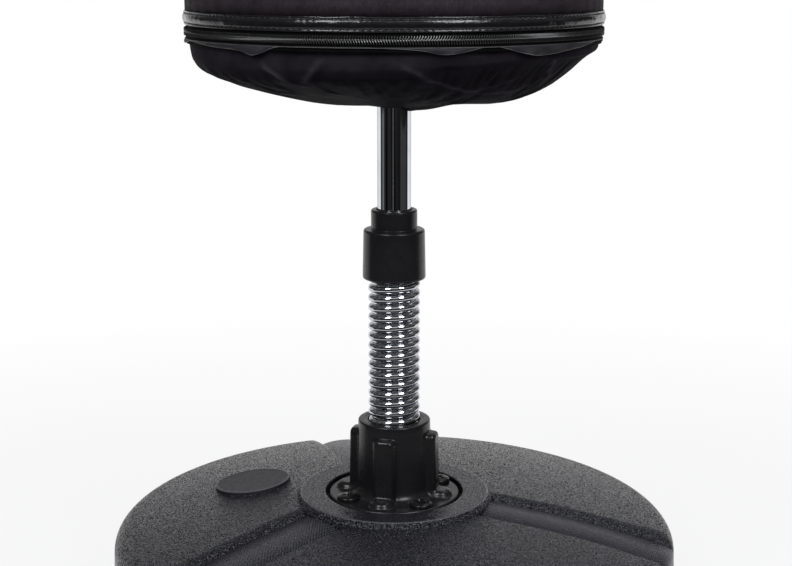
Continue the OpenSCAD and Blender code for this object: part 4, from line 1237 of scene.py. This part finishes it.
class REFLEX_OT_zip(Maker, bpy.types.Operator):
    """Makes the zip: two tapes, two coils that mesh, the stops, the slider and its pull"""

    bl_idname = "reflex.zip"
    bl_label = "Zip"

    def build(self, scene):
        looks = scene.reflex_bag
        zip_z = (bottom("zip_coil_upper") + top("zip_coil_lower")) / 2
        # The tape is near black, darker than the coil, so the gaps between the coil's turns read dark: its
        # own black and partly painted shade.
        tape = cloth_finish("zip_tape", tint(looks.zip, 0.15), 0.9 * MM, 0.75, 0.05, 0.15 * MM)
        nylon = moulded("zip_nylon", tuple(looks.zip), 0.25, IOR=1.56, Specular_IOR_Level=0.6)
        angle = np.linspace(0, TURN, 361)
        for half, side in (("upper", 1), ("lower", -1)):
            low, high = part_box("zip_tape_" + half)
            z = np.linspace(high.z, low.z, 8)[:, None]
            cloth_ring(f"zip_tape_cloth_{half}", angle, high.x - 0.05 * MM, z, "zip_tape", tape, 0.55 * MM,
                       "zip_tape_" + half)
            self.coil(looks, half, side, zip_z, nylon)
        self.stops(zip_z, nylon)
        self.slider(zip_z)

    def coil(self, looks, half, side, zip_z, nylon):
        """Flattened helix: the wire goes round an oval while its centre goes round the bag. The two rows
        lean opposite ways and are half a pitch apart, so their heads mesh."""
        low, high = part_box("zip_coil_" + half)
        wire, overlap = 0.34 * MM, 0.45 * MM
        mid_r, deep = reach("cover_wall") - looks.cover + 1.1 * MM, 0.3 * MM
        near, far = zip_z - side * overlap, zip_z + side * (high.z - low.z + 0.05 * MM)
        mid_z, tall = (near + far) / 2, abs(far - near) / 2 - wire
        gap = math.radians(5.5)  # from the back seam to the chain's end
        turns = int((TURN - 2 * gap) * mid_r / looks.tooth)
        t = np.linspace(0, turns, turns * 12)
        around = BACK + gap + (TURN - 2 * gap) * (t + (0.5 if side > 0 else 0.0)) / (turns + 1)
        phase = t * TURN
        lean = looks.tooth / mid_r * (0.22 * np.sin(phase) + 0.2 * np.cos(phase))
        centres = on_bag(around + lean, mid_r + deep * np.cos(phase), mid_z + side * tall * np.sin(phase))
        dress(tube(f"zip_coil_{half}_row", centres, wire, 6), "bag", "zip_nylon", nylon, "zip_coil_" + half)

    def stops(self, zip_z, nylon):
        """Two rounded blocks that close the ends of the chain."""
        low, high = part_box("zip_stops")
        r0, r1 = reach("cover_wall") - 1.15 * MM, reach("cover_wall") + 0.6 * MM
        size = (math.radians(0.95) * r1, (high.z - low.z) / 2, (r1 - r0) / 2)
        blocks = [(angle, size, (0, 0, (r0 + r1) / 2)) for angle in (94, 86)]
        self.blocks("zip_end_stops", blocks, zip_z, nylon, "bag", "zip_nylon", "zip_stops")

    def slider(self, zip_z):
        """Two wings with flared noses, joined through the chain, an ear and a tapered pull."""
        steel = moulded("slider_enamel", (0.014, 0.014, 0.014), 0.3, Metallic=0.4)
        at, front, back, hinge = 82, 154.15 * MM, 149.65 * MM, 157.0 * MM
        wing = (6 * MM, 4.5 * MM, 0.64 * MM)
        self.blocks("zip_slider_body", [
            (at, wing, (0, 0, front)),
            (at, wing, (0, 0, back)),
            (at, (1.2 * MM, 2.9 * MM, 2.0 * MM), (0, 0, front + 2.4 * MM)),
        ], zip_z, steel, "slider", "black_steel", "zip_slider")
        arm = (0.62 * MM, 5.6 * MM, 0.6 * MM)
        self.blocks("zip_pull_tab", [
            (at, (3 * MM, 9.0 * MM, 0.6 * MM), (0, -19.0 * MM, hinge)),
            (at, arm, (2.1 * MM, -5.2 * MM, hinge)),
            (at, arm, (-2.1 * MM, -5.2 * MM, hinge)),
            (at, (2.6 * MM, 0.7 * MM, 0.7 * MM), (0, 0, hinge)),
        ], zip_z, steel, "pull", "black_steel", "zip_pull")

    def blocks(self, name, parts, zip_z, finish, body, slot, node):
        """One object from rounded blocks on the zip line. Each is given by its angle in degrees, its half
        sizes and its place: along the zip, up and out from the pole."""
        grids = []
        for degrees, size, place in parts:
            angle = math.radians(degrees)
            axes = np.array([on_bag(angle - math.pi / 2, 1.0, 0.0), [0, 0, 1], on_bag(angle, 1.0, 0.0)])
            grids.append((superblock(*size) + np.array(place)) @ axes + np.array([0, 0, zip_z]))
        dress(make_many(name, np.stack(grids), 50), body, slot, finish, node)


def superblock(a, b, c, power=0.28):
    """Rounded block of half sizes a, b and c: a sphere whose sines and cosines are raised to a low power."""
    lat = np.linspace(-1, 1, 17)[:, None] * math.pi / 2
    lon = np.arange(32) * TURN / 32

    def bent(value):
        """Value raised to the power, with its sign kept."""
        return np.sign(value) * np.abs(value) ** power

    flat = bent(np.cos(lat))
    return np.stack([a * flat * bent(np.cos(lon)), b * flat * bent(np.sin(lon)),
                     c * bent(np.sin(lat)) + 0 * lon], axis=-1)


def hem_depth(angle):
    """Height of the hem strip that shows at an angle, drawn through the points of HEM_LINE and softened."""
    at, height = np.array(HEM_LINE).T
    tucked_in, least = 0.7, 0.25
    shown = 0
    for shift, weight in ((-1.4, 0.25), (0, 0.5), (1.4, 0.25)):
        from_front = (np.degrees(angle - FRONT) + shift + 180) % 360 - 180
        shown = shown + weight * np.interp(from_front, at, height)
    return np.maximum(shown - tucked_in, least) * MM


def sagging(r, line):
    """Height at radius r of a line through points (radius, height) in mm, softened over a few mm."""
    at, height = np.array(line).T * MM
    return sum(0.2 * np.interp(r + shift * MM, at, height) for shift in (-4, -2, 0, 2, 4))


def bottom_point(angle, part, looks, inset=0.0):
    """Point of the sagging bottom. part runs from 0 at the hem to 1 at the pole's hole. The radius is the
    rim's times the sine of an angle that falls from a right angle; the height lies between the lines of
    the left and right sides, and soft waves and creases then move the point along its normal."""
    rim_gap, hole_r = 2.5 * MM, 14.5 * MM
    rim_r = reach("cover_wall") - looks.cover - rim_gap - inset
    hole = math.asin(hole_r / rim_r)
    bend = math.pi / 2 - part * (math.pi / 2 - hole)
    r = rim_r * np.sin(bend)
    right = step(-0.15, 0.9, np.cos(angle))
    z = (1 - right) * sagging(r + inset, LEFT_LINE) + right * sagging(r + inset, RIGHT_LINE) + inset
    z = z + (bottom("hem_binding") - z) * step(0.10, 0, part)
    push = 0.9 * MM * waves(angle, r * 2.2, 31, 12, 7) * step(0, 0.12, part) * step(1, 0.85, part)
    push = push + creases(angle, part, rim_r)[0]
    push = push * step(0, 0.03, part)
    out = np.sin(bend) ** 2
    return on_bag(angle, r + push * out * 0.6, z - push * (1 - out * 0.5))


def creases(angle, part, rim_r):
    """How far the folds push the bottom out, and how much painted sheen highlight a fold's crest gets. A fold
    is a
    ridge along a line of several points: the fall from its crest is a bell curve, steeper on one side, and it
    fades out at both ends."""
    scale = np.array([math.radians(0.85) * rim_r, 0.16])
    from_front = np.degrees((angle - FRONT + math.pi) % TURN - math.pi)
    x, y = np.broadcast_arrays(from_front * scale[0], part * scale[1])
    push, crest_sheen = 0 * x, 0 * x
    for height, width, line in CREASES:
        line = np.array(line) * scale
        sizes = np.linalg.norm(np.diff(line, axis=0), axis=1)
        starts = np.concatenate([[0], np.cumsum(sizes)])
        nearest, along, side = np.full(x.shape, CLEAR), 0 * x, 0 * x
        for (x0, y0), (x1, y1), size, gone in zip(line, line[1:], sizes, starts):
            dx, dy = (x1 - x0) / size, (y1 - y0) / size
            t = np.clip((x - x0) * dx + (y - y0) * dy, 0, size)
            away = np.hypot(x - x0 - t * dx, y - y0 - t * dy)
            closer = away < nearest
            nearest = np.where(closer, away, nearest)
            along = np.where(closer, gone + t, along)
            side = np.where(closer, (x - x0) * dy - (y - y0) * dx, side)
        fade = step(-0.02, 0.3, along / starts[-1]) * step(1.02, 0.7, along / starts[-1])
        steep = np.where(side > 0, width * 0.4, width) * MM
        push = push + height * MM * bell(nearest, steep) * fade
        # Painted sheen highlight along the crest of each raised fold.
        crest_sheen = np.maximum(crest_sheen, bell(nearest, 2.0 * MM) * fade * (height > 0))
    return push, crest_sheen


def resampled(points, part, angle, to_part, to_angle):
    """Grid of points read off at other shares and angles, on straight lines between the old points."""
    around = np.stack([[np.interp(to_angle, angle, line[:, i]) for i in range(3)] for line in points])
    down = [[np.interp(to_part, part, around[:, i, j]) for j in range(len(to_angle))] for i in range(3)]
    return np.swapaxes(np.stack(down, -1), 0, 1)


def softened(grid):
    """Mean of each point of a grid, which closes round its rows, and its neighbours on every side."""
    rows, across, down = len(grid), 4, 2
    grid = sum(np.roll(grid, k, 1) for k in range(-across, across + 1)) / (2 * across + 1)
    padded = np.concatenate([grid[:1]] * down + [grid] + [grid[-1:]] * down)
    return sum(padded[k:k + rows] for k in range(2 * down + 1)) / (2 * down + 1)


def slack(points, angle, part, spare, most):
    """Small folds that spare cloth makes, from a cloth simulation of a coarser grid of the piece. Its first
    and last rows are held, the cloth is cut larger by the share spare and hangs for twenty frames. Only the
    part of each point's move that its neighbours don't share is kept, up to most."""
    rows, columns, frames = 48, 240, 20
    part = part[:, 0]
    at = np.linspace(part[0], part[-1], rows)
    turn = np.arange(columns) * TURN / columns
    coarse = resampled(points, part, angle, at, turn)
    piece = surface("slack_cloth", coarse)
    count = rows * columns
    held = piece.vertex_groups.new(name="held")
    held.add([*range(columns), *range(count - columns, count)], 1.0, "REPLACE")
    cloth = piece.modifiers.new("Cloth", "CLOTH")
    cloth.settings.vertex_group_mass = held.name
    cloth.settings.shrink_min = -spare
    cloth.settings.quality = 5
    cloth.settings.mass = 0.1
    cloth.settings.bending_stiffness = 0.05
    cloth.point_cache.frame_end = frames
    scene = bpy.context.scene
    for number in range(1, frames + 1):
        scene.frame_set(number)
    hung = piece.evaluated_get(bpy.context.evaluated_depsgraph_get())
    move = places(hung.data).reshape(rows, columns, 3) - coarse
    scene.frame_set(1)
    bpy.data.objects.remove(piece)
    wide = move
    for _ in range(3):
        wide = softened(wide)
    fine = move - wide
    size = np.linalg.norm(fine, axis=-1, keepdims=True)
    fine *= most * np.tanh(size / most) / np.maximum(size, 1e-9)
    fine = np.concatenate([fine, fine[:, :1]], axis=1)
    return resampled(fine, at, np.append(turn, TURN), part, angle)


class REFLEX_OT_bottom(Maker, bpy.types.Operator):
    """Makes the hem binding, the sagging bottom panel and the filling above it"""

    bl_idname = "reflex.bottom"
    bl_label = "Bottom"

    def build(self, scene):
        looks = scene.reflex_bag
        self.hem(looks)
        self.panel(looks)
        self.filling(looks)

    def hem(self, looks):
        """Strip that hangs from the zip tape: where it shows it stands out a little and rolls at its edge."""
        high = top("hem_binding")
        r = reach("cover_wall") - looks.cover
        angle = np.linspace(0, TURN, 1081)
        shown = hem_depth(angle)
        part = np.linspace(0, 1, 14)[:, None]
        flare = 1.5 * MM * step(1 * MM, 6 * MM, shown) * np.sin(part * 2.2)
        folds = 0.9 * MM * waves(angle * 7, part * 0.12, 41, 16, 8) * step(1.5 * MM, 5 * MM, shown) * part
        radius = r + 0.35 * MM + flare + folds
        height = high + 0.3 * MM - part * shown
        cloth = cloth_finish("hem_tape", tuple(looks.hem), 0.8 * MM, 0.6, 0.3, 0.12 * MM)
        cloth_ring("hem_strip", angle, radius, height, "hem_tape", cloth, 0.6 * MM, "hem_binding", offset=0.0)
        lower, upper = on_bag(angle, radius[-1], height[-1]), on_bag(angle, r + 0.75 * MM, high - 0.2 * MM)
        # The two edge cords are coloured far lighter than the hem: painted highlight lines along its edges.
        for name, line, thick, rgb in (
            ("hem_lower_edge_highlight", lower, 0.30 * MM, (0.19, 0.186, 0.195)),
            ("hem_upper_edge_highlight", upper, 0.26 * MM, (0.046, 0.045, 0.047)),
        ):
            thread = moulded(name + "_thread", rgb, 0.5, (0.08 * MM, 0.6 * MM))
            dress(tube(name, line, thick, 8), "bag", "hem_tape", thread, "hem_binding")

    def panel(self, looks):
        """Lining cloth from behind the hem down to the pole, with its edge turned up inside the hole."""
        angle = np.linspace(0, TURN, 481)
        part = np.linspace(0, 1, 96)[:, None] ** 1.15
        bowl = bottom_point(angle, part, looks)
        bowl = bowl + slack(bowl, angle, part, 0.04, 1.0 * MM) * step(0.04, 0.35, part)[..., None]
        r_rim, rim_top = reach("cover_wall") - looks.cover, top("hem_binding") - 0.5 * MM
        share_in = np.linspace(0, 1, 5)[:-1, None]
        rim = on_bag(angle, r_rim - 0.4 * MM - share_in * 2.5 * MM,
                     rim_top + share_in * (bowl[0, 0, 2] - rim_top))
        tuck = np.stack([bowl[-1] * [k, k, 1] + [0, 0, rise * MM] for k, rise in ((0.99, 2), (0.98, 5))])
        points = np.concatenate([rim, bowl, tuck])
        # Painted sheen highlight along the crests of the folds.
        crest_sheen = np.zeros(points.shape[:2])
        crest_sheen[len(rim):-len(tuck)] = creases(angle, part, r_rim)[1]
        cloth = cloth_finish("lining_cloth", tuple(looks.lining), 0.5 * MM, 0.55, 0.006)
        x, y, z = np.moveaxis(points, -1, 0)
        panel = cloth_ring("bottom_panel_cloth", angle, np.hypot(x, y), z, "lining_cloth", cloth,
                           looks.cover * 0.6, "bottom_panel", crest_sheen_marks=crest_sheen)

    def filling(self, looks):
        """Foam core, top pad and loose wadding, inside the cover."""
        foam = loose_finish("foam", (0.62, 0.56, 0.36), 2.2 * MM, 0.5 * MM)
        fluff = loose_finish("wadding", (0.6, 0.6, 0.6), 4 * MM, 1.5 * MM)
        low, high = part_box("foam_core")
        hole, room, outer = 16.3 * MM, 146.0 * MM, high.x - 0.6 * MM
        cover_z = bottom("cover_wall")
        core = lathe("foam_block", [
            (hole, low.z, 1 * MM), (room, low.z, 3 * MM), (room, cover_z, 1 * MM),
            (outer, cover_z + 3 * MM, 1 * MM), (outer, high.z, 4 * MM), (hole, high.z, 1 * MM),
        ])
        dress(core, "bag", "foam", foam, "foam_core")
        low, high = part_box("top_pad")
        share_r, drop = np.linspace(0, 1, 14), 15.6 * MM
        crown = np.stack([share_r * (high.x - 1 * MM), high.z - 1 * MM - drop * share_r**2], -1)
        under = [[high.x - 0.6 * MM, low.z + 4 * MM], [high.x - 4 * MM, low.z], [0, low.z]]
        pad = surface("top_pad_foam", turned(np.concatenate([crown, under])))
        dress(pad, "bag", "foam", foam, "top_pad")
        angle = np.arange(160) * TURN / 160
        part, inset = np.linspace(0.02, 0.985, 40)[:, None], 4.2 * MM
        under = bottom_point(angle, part, looks, inset)
        lids = [end * [1, 1, 0] + [0, 0, top("bottom_wadding")] for end in (under[:1], under[-1:])]
        wad = surface("loose_wadding", np.concatenate([lids[0], under, lids[1]]), True, smooth=60)
        dress(wad, "bag", "wadding", fluff, "bottom_wadding")


# ------------------------------------------------------------- carried-over CAD


class REFLEX_OT_hidden(Maker, bpy.types.Operator):
    """Gives the CAD pieces inside the base, spring and bag their finishes"""

    bl_idname = "reflex.hidden"
    bl_label = "Inside pieces"

    def build(self, scene):
        for finish, nodes in (
            (metal_finish("turned_steel", (0.56, 0.57, 0.58), 0.28),
             ("lower_spring_plug", "upper_spring_plug", "pole_cross_pin")),
            (metal_finish("turned_brass", (0.72, 0.52, 0.24), 0.3), ("screw_inserts",)),
            (metal_finish("zinc_steel", (0.62, 0.63, 0.62), 0.35), ("anchor_bolt", "anchor_washer")),
            (loose_finish("dry_sand", (0.52, 0.40, 0.24), 0.9 * MM, 0.5 * MM, 0.92), ("sand_fill",)),
            (moulded("sleeve_plastic", (0.10, 0.105, 0.115), 0.5), ("inner_sleeve", "sleeve_plate")),
            (moulded("end_plug_plastic", (0.011, 0.011, 0.011), 0.45), ("pole_end_plug",)),
        ):
            for node in nodes:
                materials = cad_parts[node].data.materials
                materials.clear()
                materials.append(finish)


# ----------------------------------------------------------------------- stage


class REFLEX_OT_stage(Maker, bpy.types.Operator):
    """Makes the pale floor, the studio light and the camera"""

    bl_idname = "reflex.stage"
    bl_label = "Stage"

    def build(self, scene):
        looks = scene.reflex_stage
        self.camera(scene, looks)
        self.floor(looks)
        self.world(scene, looks)
        self.lights(scene, looks)
        scene.view_settings.view_transform = "Standard"

    def camera(self, scene, looks):
        """Camera in front, looking along +Y and tilted down."""
        data = bpy.data.cameras.new("Camera")
        data.lens = looks.lens
        data.sensor_width = 36
        data.clip_start, data.clip_end = 0.01, 100
        camera = bpy.data.objects.new("Camera", data)
        camera.location = (looks.offset, -looks.distance, looks.height)
        camera.rotation_euler = (math.pi / 2 - looks.tilt, 0, 0)
        scene.collection.objects.link(camera)
        scene.camera = camera

    def floor(self, looks):
        """Round floor. It is white to the camera, apart from the object's shadow near the middle, and white
        in gloss only behind the object, and it throws back a share of the light as bounce says."""
        share_r = np.linspace(1, 0, 12)[:, None] ** 1.5
        floor = surface("floor", on_bag(np.arange(96) * TURN / 96, share_r * 2.2, 0.0))
        f = Finish("floor_white", Roughness=0.9)
        path = f.node("LightPath").outputs
        shade = f.ranged(path["Is Diffuse Ray"], 0, 1, 0.81, looks.bounce)
        tone = f.maths("MULTIPLY", shade, f.ranged(f.noise(3), 0, 1, 0.98, 1.02))
        f.feed("Base Color", f.node("CombineColor", {0: tone, 1: tone, 2: tone}).outputs[0])
        away = f.from_axis()
        rear = f.ranged(f.maths("DIVIDE", f.parts(f.place)[1], away), 0.20, 0.30, 0.006, 1.0)
        rear = f.maths("MAXIMUM", rear, f.ranged(away, 0.60, 0.85, 0.8, 0.0))
        strength = f.either(path["Is Camera Ray"], rear, 1.0)
        glow = f.node("Emission", {"Color": (1.0, 1.0, 1.0), "Strength": strength})
        seen = f.maths("MAXIMUM", path["Is Camera Ray"], f.mirrored(path))
        share_of = f.maths("MULTIPLY", seen, f.ranged(away, 0.3, 1.3, 0.78, 1.0))
        mix = f.node("MixShader", {0: share_of, 1: f.skin.outputs[0], 2: glow.outputs[0]})
        f.tree.links.new(mix.outputs[0], f.end.inputs[0])
        floor.data.materials.append(f.material)

    def world(self, scene, looks):
        """White behind the object for the camera and in gloss, a dark room with a dim ceiling in front of it
        in gloss, and an even dim light for everything else."""
        world = bpy.data.worlds.new("Studio")
        scene.world = world
        world.cycles.sampling_method = "NONE"
        world.use_nodes = True
        f = Nodes(world.node_tree, "Generated")
        x, y, z = f.parts(f.place)
        level = f.ranged(z, -0.10, -0.055, 0.22, 0.74)
        back = f.ranged(f.maths("SUBTRACT", y, level), -0.02, 0.08)
        low = f.maths("MULTIPLY", f.ranged(z, 0.34, 0.62, 1.0, 0.12), f.ranged(z, 0.04, 0.16, 1.0, 0.58))
        left = f.maths("MAXIMUM", f.ranged(x, -0.45, 0.05, 0.75, 1.0), f.ranged(z, 0.02, 0.1, 1.0, 0.0))
        white = f.maths("MULTIPLY", back, f.maths("MULTIPLY", low, left))
        dim = f.ranged(f.noise(2.2), 0.35, 0.7, 0.003, 0.03)
        cloudy = f.ranged(f.noise(3.5, 3), 0.36, 0.66, 0.04, 0.24)
        ceiling = f.maths("MULTIPLY", f.ranged(z, -0.04, 0.25), cloudy)
        behind = f.maths("ADD", white, f.maths("MAXIMUM", dim, ceiling))
        path = f.node("LightPath").outputs
        strength = f.either(f.mirrored(path), looks.ambient, behind)
        strength = f.either(path["Is Camera Ray"], strength, 1.0)
        light = f.node("Background", {"Color": (1.0, 1.0, 1.0), "Strength": strength})
        f.node("OutputWorld", {"Surface": light.outputs[0]})

    def lights(self, scene, looks):
        """Softboxes in front above, dim side panels, a narrow strip and a light above behind, all aimed at
        the spring."""
        target = Vector((0, 0, 0.3))
        for name, azimuth, elevation, distance, size, power in (
            # degrees from the front, degrees up, metres from the spring, width and height, watts
            ("softbox_left", -35, 40, 1.6, (0.48, 0.8), looks.softbox),
            ("softbox_right", 34, 40, 1.6, (0.48, 0.8), looks.softbox),
            ("panel_left", -80, -7, 2.4, (0.45, 0.44), 0.1),
            ("panel_left_dim", -81, -7, 2.7, (1.9, 0.44), 0.065),
            ("panel_right", 68, -8, 2.4, (2.2, 0.44), 0.105),
            ("softbox_middle", 0, 42, 1.75, (0.9, 0.45), 1.2),
            ("strip", -7, -6, 3.0, (0.14, 0.5), 0.058),
            ("top_light", 140, 62, 2.2, (1.6, 1.0), 9.0),
        ):
            data = bpy.data.lights.new(name, "AREA")
            data.shape = "RECTANGLE"
            data.size, data.size_y = size
            data.energy = power
            data.color = (0.95, 0.97, 1.0)
            light = bpy.data.objects.new(name, data)
            a, e = math.radians(azimuth), math.radians(elevation)
            back = Vector((math.sin(a) * math.cos(e), -math.cos(a) * math.cos(e), math.sin(e)))
            light.location = target + back * distance
            light.rotation_euler = (-back).to_track_quat("-Z", "Y").to_euler()
            scene.collection.objects.link(light)


# ----------------------------------------------------------------------- panel


GROUPS = {
    "reflex_base": BaseLooks, "reflex_mast": MastLooks, "reflex_bag": BagLooks, "reflex_stage": StageLooks,
}
OPERATORS = (
    REFLEX_OT_tank, REFLEX_OT_fill_cap, REFLEX_OT_socket, REFLEX_OT_screws, REFLEX_OT_spring, REFLEX_OT_mast,
    REFLEX_OT_cover, REFLEX_OT_band, REFLEX_OT_zip, REFLEX_OT_bottom, REFLEX_OT_hidden, REFLEX_OT_stage,
)


class REFLEX_PT_panel(bpy.types.Panel):
    """Lists the sizes, colours and operators of the reflex bag"""

    bl_label = "Reflex bag"
    bl_idname = "REFLEX_PT_panel"
    bl_space_type = "VIEW_3D"
    bl_region_type = "UI"
    bl_category = "Reflex bag"

    def draw(self, context):
        for name, group in GROUPS.items():
            box = self.layout.box()
            for key in group.__annotations__:
                box.prop(getattr(context.scene, name), key)
        for operator in OPERATORS:
            self.layout.operator(operator.bl_idname)


def register():
    """Registers the classes and puts the property groups on the scene."""
    for name, group in GROUPS.items():
        bpy.utils.register_class(group)
        setattr(bpy.types.Scene, name, PointerProperty(type=group))
    for one in (*OPERATORS, REFLEX_PT_panel):
        bpy.utils.register_class(one)


def unregister():
    """Takes everything back that register did."""
    for one in (REFLEX_PT_panel, *OPERATORS[::-1]):
        bpy.utils.unregister_class(one)
    for name, group in GROUPS.items():
        delattr(bpy.types.Scene, name)
        bpy.utils.unregister_class(group)


def main():
    """Registers the add-on and builds every piece in turn."""
    register()
    for operator in OPERATORS:
        family, name = operator.bl_idname.split(".")
        getattr(getattr(bpy.ops, family), name)()


if __name__ == "__main__":
    main()
